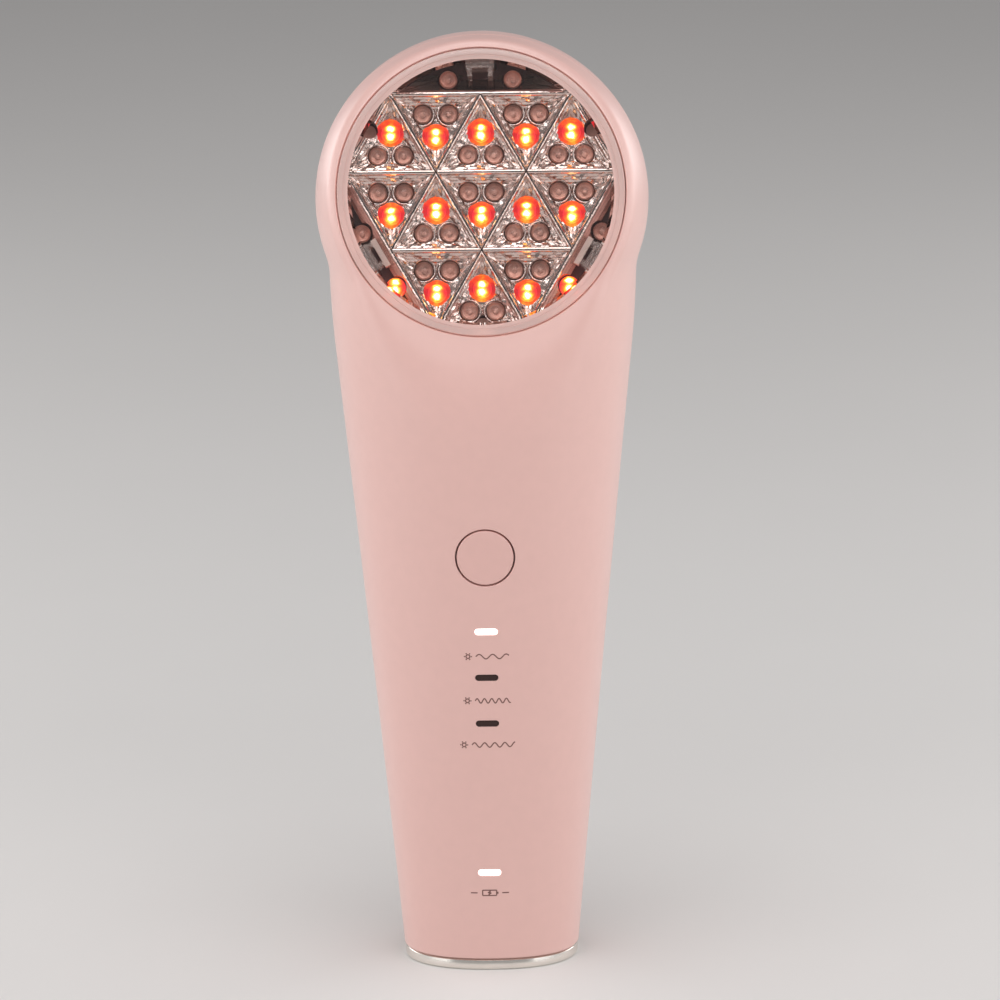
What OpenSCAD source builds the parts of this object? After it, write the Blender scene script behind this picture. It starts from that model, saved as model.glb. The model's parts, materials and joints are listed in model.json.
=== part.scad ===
// Hand-held LED light-therapy wand: a ball head with a round lens on a tapered handle.
// +Z runs up the handle, the lens and the button look towards -Y. Millimetres.
// The origin is the centre of the flat foot.

/* [Handle] */
// Half width of the handle at the foot
foot_half_w = 15.4; // [15:0.1:16]
// Half depth of the handle at the foot
foot_half_d = 13.9; // [13.7:0.1:14.4]
// Half width gained for each millimetre of height
side_taper = 0.0925; // [0.09:0.0005:0.095]
// Front depth gained for each millimetre of height
front_taper = 0.086; // [0.084:0.001:0.09]
// Back depth gained for each millimetre of height
back_taper = 0.08; // [0.078:0.001:0.086]
// Squareness of the cross-section, where 2 is an ellipse
squareness = 2.3; // [2.2:0.05:2.5]
// Thickness of the housing's wall
wall = 2; // [1.8:0.1:2.1]

/* [Head] */
// Radius of the ball head
head_r = 29.6; // [29.4:0.1:30]
// Height of the ball's centre
head_z = 138.5; // [138:0.5:140]
// Distance from the ball's centre to the lens's outer face
lens_offset = 12.5; // [12.3:0.1:12.8]
// Angle that the lens is tipped back
lens_tilt = 17; // [16:0.5:18]
// Radius of the clear lens cover
lens_r = 25.45; // [25.3:0.05:25.5]

/* [Light cells] */
// Side of a triangular reflector cell
cell_side = 16.02; // [15.8:0.02:16.1]
// Distance of each LED from the centre of its cell
led_throw = 2.66; // [2.6:0.02:2.7]
// Radius of an LED's bulb
led_r = 1.53; // [1.48:0.01:1.55]

/* [Controls] */
// Height of the button's centre
button_z = 77.5; // [76:0.5:79]
// Radius of the button's cap
button_r = 5.05; // [5:0.05:5.1]
// Travel of the button
button_travel = 0.5; // [0.3:0.05:0.5]
// Height of the highest mode light
mode_light_z = 63.7; // [63:0.1:64]
// Distance between two mode lights
mode_light_pitch = 8.6; // [8.4:0.1:8.7]
// Height of the charge light
charge_light_z = 18.4; // [18:0.1:19]
// Width of a light window
window_w = 4.15; // [4:0.05:4.3]
// Height of a light window
window_h = 1.2; // [1.1:0.05:1.25]

/* [Power] */
// Radius of the battery cell
cell_r = 9.2; // [9:0.1:9.2]
// Radius of the charging socket's bore
jack_bore_r = 1.95; // [1.9:0.05:2]
// Depth of the charging socket's bore
jack_bore_l = 4.6; // [4:0.1:4.6]
// Height of the charging socket's centre
jack_z = 9; // [9:0.5:9.5]

/* [Hidden] */
$fn = 48;

// Housing
side_flare = 0.00005;      // extra spread of the handle's sides, for each millimetre squared
neck_half_w = 27.35;       // half width at which the handle's sides turn straight
neck_blend = 1;            // roundness of that turn
handle_top = 134;          // the handle's own body ends inside the ball
crease_blend = 0.7;        // fillet where the ball meets the handle
lens_edge_blend = 1.3;     // fillet round the flat lens face
bend_blend = 3;            // softer fillet below the lens, where the face meets the handle
bend_z = [112, 124];       // the fillet changes from one to the other between these heights
seam_z = 2.1;              // the shells start above the chrome ring
straight_z = 112;          // below this height the shell's rings are level
neck_rise = 26.5;          // from there to the ball's centre
neck_angle = -22.5;        // elevation of the ball's first ring
level_rings = 12;
neck_rings = 8;
ball_rings = 25;
half_columns = 32;         // facets round half of the housing

// Lens direction and the places that hang on it
lens_dir = [0, -cos(lens_tilt), sin(lens_tilt)];
head_centre = [0, 0, head_z];
lens_centre = head_centre + lens_offset * lens_dir;
lens_gap = 0.3;
skirt_r = 24;              // inside radius of the lens skirt
skirt_depth = 7.6;
lens_thick = 1.8;
clip_angles = [90, 210, 330];
clip_w = 5;
clip_r = 22.7;             // inside radius of a clip's tongue

// Levels behind the lens's outer face
ridge_w = -3;
reflector_floor_w = -9.4;
reflector_back_w = -10.3;
board_front_w = -11.4;
board_back_w = -13;
carrier_back_w = -14.4;
seal_front_w = -7.65;
seal_back_w = -8.1;
carrier_wall_w = -8.15;
led_board_r = 24.3;
carrier_r = 27.1;
carrier_hole_r = 8.8;

// LED pattern: rows A, B and C from the top, and the six bulbs outside the cells
cell_h = cell_side * sqrt(3) / 2;
pattern_drop = 0.85;       // the pattern's centre lies a little below the lens's centre
row_top = cell_h * 4 / 3;  // top line of row A above the pattern's centre
reflector_r = 23.3;
led_height = 5.4;
led_flange_r = 1.8;
led_hole_r = 1.76;
led_fn = 32;
red_outer = [[15.4, -16.2], [-15.4, -16.2]];
blue_outer = [[-5.7, 20.5], [-21.3, -6.7]];
green_outer = [[5.7, 20.5], [21.3, -6.7]];
led_screw_angles = [30, 150, 270];
led_screw_ring = 22.95;

// Levels behind the handle's front surface
front_slope = atan(front_taper);
board_face = 6.6;
board_thick = 1.6;
board_low = 12;
board_high = 100;
board_half_w = 9;
board_foot_half_w = 7.4;
board_step = 23.5;
board_screw_x = 6.3;
board_screw_s = [25.5, 96.5];
window_gap = 0.06;
pipe_flange = 2.6;
pipe_back = 3.4;
shield_front = 3.55;
mode_zs = [for (i = [0:2]) mode_light_z - i * mode_light_pitch];
light_zs = concat(mode_zs, [charge_light_z]);
button_gap = 0.3;
flange_front = 2.9;
flange_back = 3.6;
flange_r = 6.2;
post_r = 1.8;
post_back = 4.6;
collar_r = 7.9;
collar_back = flange_back + button_travel + 0.15;
membrane_back = collar_back + 0.65;
switch_front = post_back + button_travel + 0.05;
plunger_r = 1.2;

// Screws and bosses
shell_screw_sites = [[10.2, 16], [-10.2, 16], [10, 108], [-10, 108]];
screw_head_y = 5;
screw_head_h = 1.6;
base_screw_sites = [[8, 7.6], [-8, 7.6]];
pillar_z = [5.2, 12.8];
ring_top = 2;
ring_inset = 2.2;
pad_inset = 2.6;
pad_top = 0.9;
cap_z = [1, 5];
spigot_inset = 2.3;

// Battery and socket
cell_y = 2.6;
cell_z = [22, 86.2];
tray_r = 10.6;
socket_s = 89;
jack_mouth_y = 14.2;
jack_shoulder_y = 12.2;
jack_back_y = 3;
jack_r = 3.5;
wire_r = 0.55;

// Wires, as hand-set points from end to end
harness_route = [[4.6, 136.9], [7.2, 135.6], [8.8, 131], [8.4, 124], [4.5, 113],
    [-0.5, 102], [-4, 95], [-6.6, 91], [-9.3, 89.8]];
harness_xs = [-6.1, -4.9, -3.7, -2.5];
battery_route = [[0.5, 87.7], [0, 89.2], [-1.8, 91], [-5, 91.2], [-9.3, 89.8]];
battery_xs = [3.2, 4.8];
charge_route = [[2.9, 9], [1.2, 9.6], [-1.6, 12.2], [-4.6, 15.4], [-6.4, 16.2]];
charge_xs = [-1.7, 1.7];

// ---- shape of the housing ----

function smooth_max(a, b, k) =
    let (h = max(k - abs(a - b), 0) / k) max(a, b) + h * h * k / 4;

function smooth_min(a, b, k) = -smooth_max(-a, -b, k);

function half_width(z) =
    smooth_min(foot_half_w + side_taper * z + side_flare * z * z, neck_half_w, neck_blend);

function half_depth(y, z) = foot_half_d + (y < 0 ? front_taper : back_taper) * z;

// Distance outside the handle's rounded-square cone, measured from its axis
function handle_dist(p) =
    let (wide = pow(abs(p[0]) / half_width(p[2]), squareness),
         deep = pow(abs(p[1]) / half_depth(p[1], p[2]), squareness),
         share = max(pow(wide + deep, 1 / squareness), 0.01))
    max(norm([p[0], p[1]]) * (1 - 1 / share), p[2] - handle_top);

function head_dist(p) = norm(p - head_centre) - head_r;

function lens_face_dist(p) = (p - head_centre) * lens_dir - lens_offset;

function face_blend(z) =
    let (t = min(max((z - bend_z[0]) / (bend_z[1] - bend_z[0]), 0), 1))
    bend_blend + (lens_edge_blend - bend_blend) * t;

function body_dist(p) =
    smooth_max(smooth_min(handle_dist(p), head_dist(p), crease_blend),
        lens_face_dist(p), face_blend(p[2]));

// How far a ray runs before it is level millimetres outside the housing's surface
function reach(from, dir, level, near = 4, far = 44, steps = 16) =
    let (mid = (near + far) / 2)
    steps == 0 ? mid
    : body_dist(from + mid * dir) < level ? reach(from, dir, level, mid, far, steps - 1)
    : reach(from, dir, level, near, mid, steps - 1);

// Each ring of the shell as [height of its centre, elevation of its rays]
rings = concat(
    [for (i = [0:level_rings - 1]) [seam_z + (straight_z - seam_z) * i / level_rings, 0]],
    [for (i = [0:neck_rings - 1])
        [straight_z + neck_rise * i / neck_rings, neck_angle * i / neck_rings]],
    [for (i = [0:ball_rings - 1])
        [head_z, neck_angle + (90 - neck_angle) * i / ball_rings]]);

function ray(angle, elevation) =
    [cos(elevation) * sin(angle), -cos(elevation) * cos(angle), sin(elevation)];

function skin(start, level) = concat(
    [for (r = rings)
        for (j = [0:half_columns])
            let (from = [0, 0, r[0]], dir = ray(start + 180 * j / half_columns, r[1]))
            from + reach(from, dir, level) * dir],
    [head_centre + reach(head_centre, [0, 0, 1], level) * [0, 0, 1]]);

// Half of the housing as a closed shell, from angle start to start + 180 round the axis
module half_shell(start) {
    n = half_columns + 1;
    rows = len(rings);
    pole = rows * n;
    inner = pole + 1;
    strips = [for (i = [0:rows - 2]) for (j = [0:half_columns - 1]) i * n + j];
    edge = [for (i = [0:rows - 2]) i * n];
    top = (rows - 1) * n;
    faces = concat(
        [for (a = strips) [a, a + n, a + 1]],
        [for (a = strips) [a + 1, a + n, a + n + 1]],
        [for (a = strips) [inner + a, inner + a + 1, inner + a + n]],
        [for (a = strips) [inner + a + 1, inner + a + n + 1, inner + a + n]],
        [for (j = [0:half_columns - 1]) [top + j, pole, top + j + 1]],
        [for (j = [0:half_columns - 1])
            [inner + top + j, inner + top + j + 1, inner + pole]],
        [for (j = [0:half_columns - 1]) [j, j + 1, inner + j + 1, inner + j]],
        [for (a = edge) [a, inner + a, inner + a + n, a + n]],
        [for (a = edge)
            [a + half_columns, a + half_columns + n, inner + a + half_columns + n,
             inner + a + half_columns]],
        [[top, inner + top, inner + pole, pole]],
        [[top + half_columns, pole, inner + pole, inner + top + half_columns]]);
    polyhedron(points = concat(skin(start, 0), skin(start, -wall)), faces = faces);
}

// Depth of the handle's outline at a place across it, inset from the surface
function depth_at(x, z, y_sign, inset) =
    let (w = half_width(z) - inset, d = half_depth(y_sign, z) - inset)
    d * pow(1 - pow(abs(x) / w, squareness), 1 / squareness);

// Turn of the back's outline at a place across it
function turn_at(x, z) = atan((depth_at(x + 1, z, 1, 0) - depth_at(x - 1, z, 1, 0)) / 2);

// ---- placing ----

module at_lens(w = 0) {
    translate(lens_centre) rotate([90 - lens_tilt, 0, 0]) translate([0, 0, w]) children();
}

// On the handle's front surface at height z, with +Z out of it and +Y up it
module at_front(z, depth = 0) {
    translate([0, -foot_half_d, 0]) rotate([90 + front_slope, 0, 0])
        translate([0, z / cos(front_slope), -depth]) children();
}

module round_ring(angle, radius) {
    rotate([0, 0, angle]) translate([radius, 0, 0]) children();
}

module section(inset) {
    polygon([for (a = [0:6:354])
        [(foot_half_w + 0.05 - inset) * sign(cos(a)) * pow(abs(cos(a)), 2 / squareness),
         (foot_half_d + 0.05 - inset) * sign(sin(a)) * pow(abs(sin(a)), 2 / squareness)]]);
}

module capsule(w, h) {
    square([w - h, h], center = true);
    for (side = [-1, 1]) translate([side * (w - h) / 2, 0]) circle(d = h);
}

module block(size) {
    translate([-size[0] / 2, -size[1] / 2, 0]) cube(size);
}

// A wire of eight sides through points in the plane x, from end to end
module wire(x, route, r) {
    last = len(route) - 1;
    ends = [for (i = [0:last])
        let (d = route[min(i + 1, last)] - route[max(i - 1, 0)], t = d / norm(d))
        for (a = [0:45:315])
            [x + r * cos(a), route[i][0] - r * sin(a) * t[1], route[i][1] + r * sin(a) * t[0]]];
    sides = [for (i = [0:last - 1]) for (j = [0:7])
        [i * 8 + j, i * 8 + (j + 1) % 8, i * 8 + 8 + (j + 1) % 8, i * 8 + 8 + j]];
    caps = [[for (j = [7:-1:0]) j], [for (j = [0:7]) last * 8 + j]];
    polyhedron(points = ends, faces = concat(sides, caps), convexity = 4);
}

// ---- housing ----

module window_cut(z, gap, front, back) {
    at_front(z, back) linear_extrude(back - front) capsule(window_w + gap, window_h + gap);
}

module front_boss(site) {
    x = site[0];
    y = depth_at(x, site[1], -1, wall) + 0.7;
    translate([x, -0.05, site[1]]) rotate([90, 0, 0]) cylinder(r = 2.4, h = y);
}

module rear_boss(site) {
    x = site[0];
    y = depth_at(x, site[1], 1, wall) + 0.7;
    translate([x, y, site[1]]) rotate([90, 0, 0]) cylinder(r = 3, h = y - 0.05);
}

module front_shell() {
    color([0.89, 0.75, 0.73]) difference() {
        union() {
            half_shell(-90);
            at_front(button_z, collar_back) cylinder(r = collar_r, h = collar_back - 1.5);
            for (site = shell_screw_sites) front_boss(site);
            for (x = [-1, 1], s = board_screw_s)
                at_front(s * cos(front_slope), board_face)
                    translate([x * board_screw_x, 0, 0]) cylinder(r = 2, h = board_face - 1.3);
            for (angle = [-20, -160])
                at_lens(board_back_w + 0.1) round_ring(angle, 26.9) block([2, 4, 4]);
        }
        at_lens(-9) cylinder(r = lens_r + lens_gap, h = 20, $fn = 96);
        at_front(button_z, 5) cylinder(r = button_r + button_gap, h = 10);
        at_front(button_z, 5) cylinder(r = flange_r + 0.5, h = 5 - flange_front + 0.1);
        for (z = light_zs) window_cut(z, window_gap, -1, 3.5);
        for (site = shell_screw_sites)
            translate([site[0], 0.5, site[1]]) rotate([90, 0, 0]) cylinder(r = 0.95, h = 9);
        for (x = [-1, 1], s = board_screw_s)
            at_front(s * cos(front_slope), board_face + 1)
                translate([x * board_screw_x, 0, 0]) cylinder(r = 0.75, h = 4.5);
    }
}

module rear_shell() {
    color([0.88, 0.74, 0.72]) difference() {
        union() {
            half_shell(90);
            for (site = shell_screw_sites) rear_boss(site);
            for (site = base_screw_sites) {
                translate([site[0], site[1], pillar_z[0]])
                    cylinder(r = 2.2, h = pillar_z[1] - pillar_z[0]);
                translate([site[0], site[1] + 1.4, pillar_z[0]])
                    block([3.2, 3.2, pillar_z[1] - pillar_z[0]]);
            }
            for (angle = [0, 60, 120, 180])
                at_lens(-22.6) round_ring(angle, 25.6) cylinder(r = 1.6, h = 8.1);
        }
        for (site = shell_screw_sites) {
            translate([site[0], 30, site[1]]) rotate([90, 0, 0]) cylinder(r = 1.1, h = 31);
            translate([site[0], 30, site[1]]) rotate([90, 0, 0])
                cylinder(r = 2.25, h = 30 - screw_head_y);
        }
        for (site = base_screw_sites)
            translate([site[0], site[1], pillar_z[0] - 1]) cylinder(r = 0.95, h = 7.5);
        translate([0, 20, jack_z]) rotate([90, 0, 0]) cylinder(r = 3.1, h = 10);
    }
}

module shell_screws() {
    color([0.75, 0.75, 0.77]) for (site = shell_screw_sites)
        translate([site[0], screw_head_y, site[1]]) rotate([90, 0, 0]) {
            cylinder(r = 0.9, h = 12.5);
            translate([0, 0, -screw_head_h]) difference() {
                cylinder(r = 1.8, h = screw_head_h);
                translate([0, 0, -0.5]) {
                    block([2.4, 0.5, 1.3]);
                    block([0.5, 2.4, 1.3]);
                }
            }
        }
}

module screw_plugs() {
    color([0.87, 0.72, 0.7]) for (site = shell_screw_sites) {
        y = depth_at(site[0], site[1], 1, 0) - 0.2;
        difference() {
            translate([site[0], y + 2, site[1]]) rotate([90, 0, 0])
                cylinder(r = 2.15, h = 4.5);
            translate([site[0], y, site[1]]) rotate([0, 0, turn_at(site[0], site[1])])
                translate([-5, 0, -5]) cube([10, 5, 10]);
        }
    }
}

module base_ring() {
    color([0.85, 0.85, 0.86]) linear_extrude(ring_top) difference() {
        section(0);
        section(ring_inset);
    }
}

module base_cap() {
    color([0.86, 0.72, 0.7]) difference() {
        translate([0, 0, cap_z[0]]) linear_extrude(cap_z[1] - cap_z[0]) section(spigot_inset);
        translate([0, 0, 2.6]) linear_extrude(cap_z[1]) section(spigot_inset + 1.5);
        for (site = base_screw_sites) translate([site[0], site[1], 0]) {
            cylinder(r = 1.1, h = 6);
            cylinder(r = 2, h = 1.9);
            translate([0, 0, 2.6]) cylinder(r = 2.4, h = 4);
        }
    }
}

module base_screws() {
    color([0.75, 0.75, 0.77]) for (site = base_screw_sites)
        translate([site[0], site[1], 1.05]) {
            cylinder(r = 0.9, h = 9.5);
            difference() {
                cylinder(r = 1.8, h = 0.85);
                translate([0, 0, -0.4]) block([2.4, 0.45, 0.8]);
            }
        }
}

module base_pad() {
    color([0.62, 0.6, 0.6]) linear_extrude(pad_top) section(pad_inset);
}

// ---- head ----

module lens_cover() {
    tongue = clip_r + 0.65;
    color([0.93, 0.93, 0.95, 0.35]) at_lens() {
        rotate_extrude($fn = 96) polygon([[0, 0], [lens_r - 0.45, 0], [lens_r, -0.45],
            [lens_r, -skirt_depth], [skirt_r, -skirt_depth], [skirt_r, -lens_thick],
            [0, -lens_thick]]);
        for (angle = clip_angles) {
            translate([0, 0, -15.6]) round_ring(angle, tongue)
                block([2 * 0.68, clip_w, 15.6 - lens_thick + 0.1]);
            translate([0, 0, -15.6]) round_ring(angle, tongue + 0.9)
                block([1.2, clip_w, 1.1]);
        }
    }
}

module lens_seal() {
    color([0.35, 0.33, 0.33]) at_lens(seal_back_w) difference() {
        cylinder(r = lens_r - 0.1, h = seal_front_w - seal_back_w, $fn = 96);
        translate([0, 0, -1]) cylinder(r = skirt_r + 0.45, h = 3, $fn = 96);
    }
}

// Each cell as [x, y, apex sign]: rows A and B hold five cells and row C three
cells = [for (row = [0:2])
    for (i = [(row == 2 ? -1 : -2):(row == 2 ? 1 : 2)])
        let (up = row == 1 ? abs(i) % 2 : 1 - abs(i) % 2,
             top = row_top - row * cell_h - pattern_drop)
        [i * cell_side / 2, top - cell_h * (up ? 2 : 1) / 3, up ? 1 : -1]];

// A cell's bulb: which is 0 at the apex, -1 and 1 at the base
function bulb(cell, which) =
    which == 0 ? [cell[0], cell[1] + cell[2] * led_throw]
    : [cell[0] + which * led_throw * cos(30), cell[1] - cell[2] * led_throw / 2];

red_sites = concat([for (c = cells) bulb(c, 0)], red_outer);
blue_sites = concat([for (c = cells) bulb(c, -1)], blue_outer);
green_sites = concat([for (c = cells) bulb(c, 1)], green_outer);

module reflector_outline() {
    a = cell_side;
    low = row_top - 3 * cell_h - pattern_drop;
    intersection() {
        circle(r = reflector_r, $fn = 96);
        polygon([[-a, low + 3 * cell_h], [a, low + 3 * cell_h], [1.5 * a, low + 2 * cell_h],
            [a / 2, low], [-a / 2, low], [-1.5 * a, low + 2 * cell_h]]);
    }
}

module reflector() {
    depth = ridge_w - reflector_floor_w;
    wide = cell_side / sqrt(3);
    color([0.8, 0.78, 0.77]) at_lens() difference() {
        translate([0, 0, reflector_back_w])
            linear_extrude(ridge_w - reflector_back_w) reflector_outline();
        for (c = cells) translate([c[0], c[1], reflector_floor_w])
            rotate([0, 0, c[2] * 90])
                cylinder(r1 = wide * 0.66, r2 = wide * 0.96 + 0.02, h = depth + 0.01, $fn = 3);
        for (c = cells, which = [-1:1]) translate(concat(bulb(c, which), reflector_back_w - 1))
            cylinder(r = led_hole_r, h = 5.4, $fn = led_fn);
        for (angle = led_screw_angles) translate([0, 0, reflector_back_w - 1])
            round_ring(angle, led_screw_ring) cylinder(r = 1.6, h = 12);
    }
}

// A round-topped LED standing on its board
module led() {
    cylinder(r = led_flange_r, h = 1, $fn = led_fn);
    rotate_extrude($fn = led_fn) union() {
        square([led_r, led_height - led_r]);
        intersection() {
            translate([0, led_height - led_r]) circle(r = led_r, $fn = led_fn);
            square([led_r, led_height]);
        }
    }
}

module leds(sites) {
    for (site = sites) at_lens(board_front_w) translate(site) led();
}

module red_leds() {
    color([1, 0.25, 0.12]) leds(red_sites);
}

module blue_leds() {
    color([0.72, 0.66, 0.64]) leds(blue_sites);
}

module green_leds() {
    color([0.7, 0.68, 0.62]) leds(green_sites);
}

module clip_slots(r, h) {
    for (angle = clip_angles) round_ring(angle, 22.4 + r) translate([0, 0, -0.5])
        block([2 * r, clip_w + 0.6, h + 1]);
}

module led_board() {
    thick = board_front_w - board_back_w;
    color([0.24, 0.1, 0.1]) at_lens(board_back_w) difference() {
        cylinder(r = led_board_r, h = thick, $fn = 96);
        clip_slots(2, thick);
        for (angle = led_screw_angles)
            translate([0, 0, -1]) round_ring(angle, led_screw_ring) cylinder(r = 0.95, h = 4);
    }
}

module led_board_screws() {
    color([0.75, 0.75, 0.77]) at_lens(board_front_w) for (angle = led_screw_angles)
        round_ring(angle, led_screw_ring) {
            translate([0, 0, -4.6]) cylinder(r = 0.8, h = 4.7);
            difference() {
                cylinder(r = 1.25, h = 1);
                translate([0, 0, 0.6]) {
                    block([1.7, 0.4, 1]);
                    block([0.4, 1.7, 1]);
                }
            }
        }
}

module led_carrier() {
    floor_h = board_back_w - carrier_back_w;
    color([0.9, 0.89, 0.87]) at_lens(carrier_back_w) difference() {
        union() {
            cylinder(r = carrier_r, h = floor_h, $fn = 96);
            cylinder(r = 25.4, h = carrier_wall_w - carrier_back_w, $fn = 96);
            for (angle = led_screw_angles) translate([0, 0, -2.6])
                round_ring(angle, led_screw_ring) cylinder(r = 1.9, h = 3);
        }
        translate([0, 0, floor_h]) cylinder(r = led_board_r + 0.1, h = 9, $fn = 96);
        translate([0, 0, -1]) cylinder(r = carrier_hole_r, h = 4);
        clip_slots(1, floor_h);
        for (angle = led_screw_angles) translate([0, 0, -3])
            round_ring(angle, led_screw_ring) cylinder(r = 0.9, h = 6);
    }
}

module led_driver_chip() {
    color([0.12, 0.12, 0.13]) at_lens(board_back_w - 1.2) translate([0, 3.6, 0])
        block([5, 4, 1.2]);
}

module led_resistors() {
    color([0.2, 0.2, 0.22]) at_lens(board_back_w - 0.6)
        for (x = [-5.6, -4, 4, 5.6], y = [2.2, 4.6])
            translate([x, y, 0]) block([0.9, 1.7, 0.6]);
}

module led_socket() {
    color([0.93, 0.92, 0.88]) at_lens(board_back_w - 4.2) translate([-4.3, -1.2, 0])
        block([6.6, 4.4, 4.2]);
}

module led_harness() {
    color([0.8, 0.25, 0.2]) for (x = harness_xs) wire(x, harness_route, wire_r);
}

// ---- handle electronics ----

// On the main board's front face at distance s up the handle
module on_board(x, s) {
    at_front(s * cos(front_slope), board_face) translate([x, 0, 0]) children();
}

module on_board_back(x, s, h) {
    at_front(s * cos(front_slope), board_face + board_thick + h) translate([x, 0, 0])
        children();
}

module main_board() {
    color([0.1, 0.35, 0.2]) at_front(0, board_face + board_thick)
        linear_extrude(board_thick) difference() {
            polygon([[-board_foot_half_w, board_low], [board_foot_half_w, board_low],
                [board_foot_half_w, board_step - 2], [board_half_w, board_step],
                [board_half_w, board_high], [-board_half_w, board_high],
                [-board_half_w, board_step], [-board_foot_half_w, board_step - 2]]);
            for (x = [-1, 1], s = board_screw_s)
                translate([x * board_screw_x, s]) circle(r = 0.9);
        }
}

module board_screws() {
    color([0.75, 0.75, 0.77]) for (x = [-1, 1], s = board_screw_s)
        on_board_back(x * board_screw_x, s, 1) {
            cylinder(r = 1.5, h = 1);
            cylinder(r = 0.7, h = 6);
        }
}

module controller_chip() {
    color([0.12, 0.12, 0.13]) on_board(0, 34.5) block([7, 7, 1]);
}

module charger_chip() {
    color([0.12, 0.12, 0.13]) on_board(0, 26.5) block([4, 4, 0.9]);
}

module power_inductor() {
    color([0.3, 0.3, 0.32]) on_board(0, 90) {
        block([5, 5, 1]);
        cylinder(r = 2.3, h = 2.8);
    }
}

module board_capacitors() {
    color([0.65, 0.5, 0.35]) for (x = [-6.2, 6.2], s = [31, 34, 37, 40, 71, 74])
        on_board(x, s) block([1.6, 0.9, 0.8]);
}

module harness_socket() {
    color([0.93, 0.92, 0.88]) on_board_back(-4.3, socket_s, 4) block([6.4, 4.4, 4]);
}

module battery_socket() {
    color([0.93, 0.92, 0.88]) on_board_back(4, socket_s, 4) block([4.6, 4.4, 4]);
}

module indicator_leds() {
    color([0.95, 0.93, 0.8]) for (z = light_zs) at_front(z, board_face)
        block([1.6, 0.8, 0.6]);
}

module light_pipe(z) {
    window_cut(z, -window_gap, 0.15, pipe_back);
    at_front(z, pipe_back) linear_extrude(pipe_back - pipe_flange)
        capsule(window_w + 1.4, window_h + 1.4);
}

module light_pipe_1() {
    color([1, 0.99, 0.96]) light_pipe(mode_zs[0]);
}

module light_pipe_2() {
    color([0.24, 0.15, 0.13]) light_pipe(mode_zs[1]);
}

module light_pipe_3() {
    color([0.24, 0.15, 0.13]) light_pipe(mode_zs[2]);
}

module light_pipe_charge() {
    color([1, 0.99, 0.96]) light_pipe(charge_light_z);
}

module light_shield(zs) {
    low = zs[len(zs) - 1] - 2.8;
    high = zs[0] + 2.8;
    difference() {
        at_front((low + high) / 2, board_face)
            block([8.4, (high - low) / cos(front_slope), board_face - shield_front]);
        for (z = zs) at_front(z, board_face + 0.5) block([4.6, 2.8, board_face]);
    }
}

module mode_light_shield() {
    color([0.15, 0.15, 0.16]) light_shield(mode_zs);
}

module charge_light_shield() {
    color([0.15, 0.15, 0.16]) light_shield([charge_light_z]);
}

// The cap's top is curved across like the handle's front
module power_button() {
    crown_r = 45;
    color([0.87, 0.72, 0.69]) {
        intersection() {
            at_front(button_z, flange_back) cylinder(r = button_r, h = flange_back);
            at_front(button_z, crown_r + 0.06) rotate([90, 0, 0])
                cylinder(r = crown_r, h = 14, center = true, $fn = 180);
        }
        at_front(button_z, flange_back) cylinder(r = flange_r, h = flange_back - flange_front);
        at_front(button_z, post_back) cylinder(r = post_r, h = post_back - flange_back + 0.2);
    }
}

module button_membrane() {
    color([0.75, 0.74, 0.73]) at_front(button_z, membrane_back) difference() {
        cylinder(r = collar_r, h = membrane_back - collar_back);
        translate([0, 0, -1]) cylinder(r = 2.6, h = 3);
    }
}

module tact_switch() {
    color([0.2, 0.2, 0.21]) difference() {
        at_front(button_z, board_face) block([6, 6, board_face - switch_front]);
        at_front(button_z, board_face - 0.2) cylinder(r = plunger_r + 0.1, h = 3);
    }
}

module switch_plunger() {
    color([0.85, 0.84, 0.82]) at_front(button_z, post_back + 1.1)
        cylinder(r = plunger_r, h = 1.1);
}

// ---- battery and charging ----

module battery_cell() {
    color([0.2, 0.4, 0.6]) translate([0, cell_y, cell_z[0]])
        cylinder(r = cell_r, h = cell_z[1] - cell_z[0], $fn = 64);
}

module cell_tabs() {
    color([0.8, 0.8, 0.78]) for (z = [cell_z[0] - 0.3, cell_z[1]])
        translate([0, cell_y, z]) block([5, 10, 0.3]);
}

module protection_board() {
    color([0.1, 0.35, 0.2]) translate([0, cell_y, cell_z[1] + 0.3]) block([13, 7, 1]);
}

module battery_tray() {
    low = cell_z[0] - 1.4;
    color([0.22, 0.22, 0.23]) translate([0, cell_y, low]) difference() {
        cylinder(r = tray_r, h = cell_z[1] - low, $fn = 64);
        translate([0, 0, 1]) cylinder(r = cell_r + 0.1, h = 80, $fn = 64);
        translate([-20, -41, -1]) cube([40, 40, 100]);
    }
}

module battery_pads() {
    color([0.25, 0.25, 0.26]) {
        translate([0, 15.1, 66]) block([10, 3.6, 16]);
        translate([0, 14.1, 42]) block([10, 1.5, 14]);
    }
}

module battery_leads() {
    color([0.75, 0.15, 0.12]) wire(battery_xs[0], battery_route, wire_r);
    color([0.1, 0.1, 0.1]) wire(battery_xs[1], battery_route, wire_r);
}

module charge_jack() {
    chamber = jack_mouth_y - jack_bore_l;
    color([0.12, 0.12, 0.13]) difference() {
        union() {
            translate([0, jack_mouth_y, jack_z]) rotate([90, 0, 0])
                cylinder(r = 2.85, h = jack_mouth_y - jack_shoulder_y + 0.5);
            translate([0, jack_shoulder_y, jack_z]) rotate([90, 0, 0])
                cylinder(r = jack_r, h = jack_shoulder_y - jack_back_y);
        }
        translate([0, jack_mouth_y + 1, jack_z]) rotate([90, 0, 0])
            cylinder(r = jack_bore_r, h = jack_bore_l + 1);
        translate([0, chamber + 0.5, jack_z]) rotate([90, 0, 0])
            cylinder(r = 1.7, h = chamber + 0.5 - jack_back_y - 1.5);
    }
}

module jack_pin() {
    color([0.85, 0.75, 0.45]) translate([0, 9.4, jack_z]) rotate([90, 0, 0])
        cylinder(r = 0.6, h = 9.4 - jack_back_y - 1.5);
}

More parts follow.
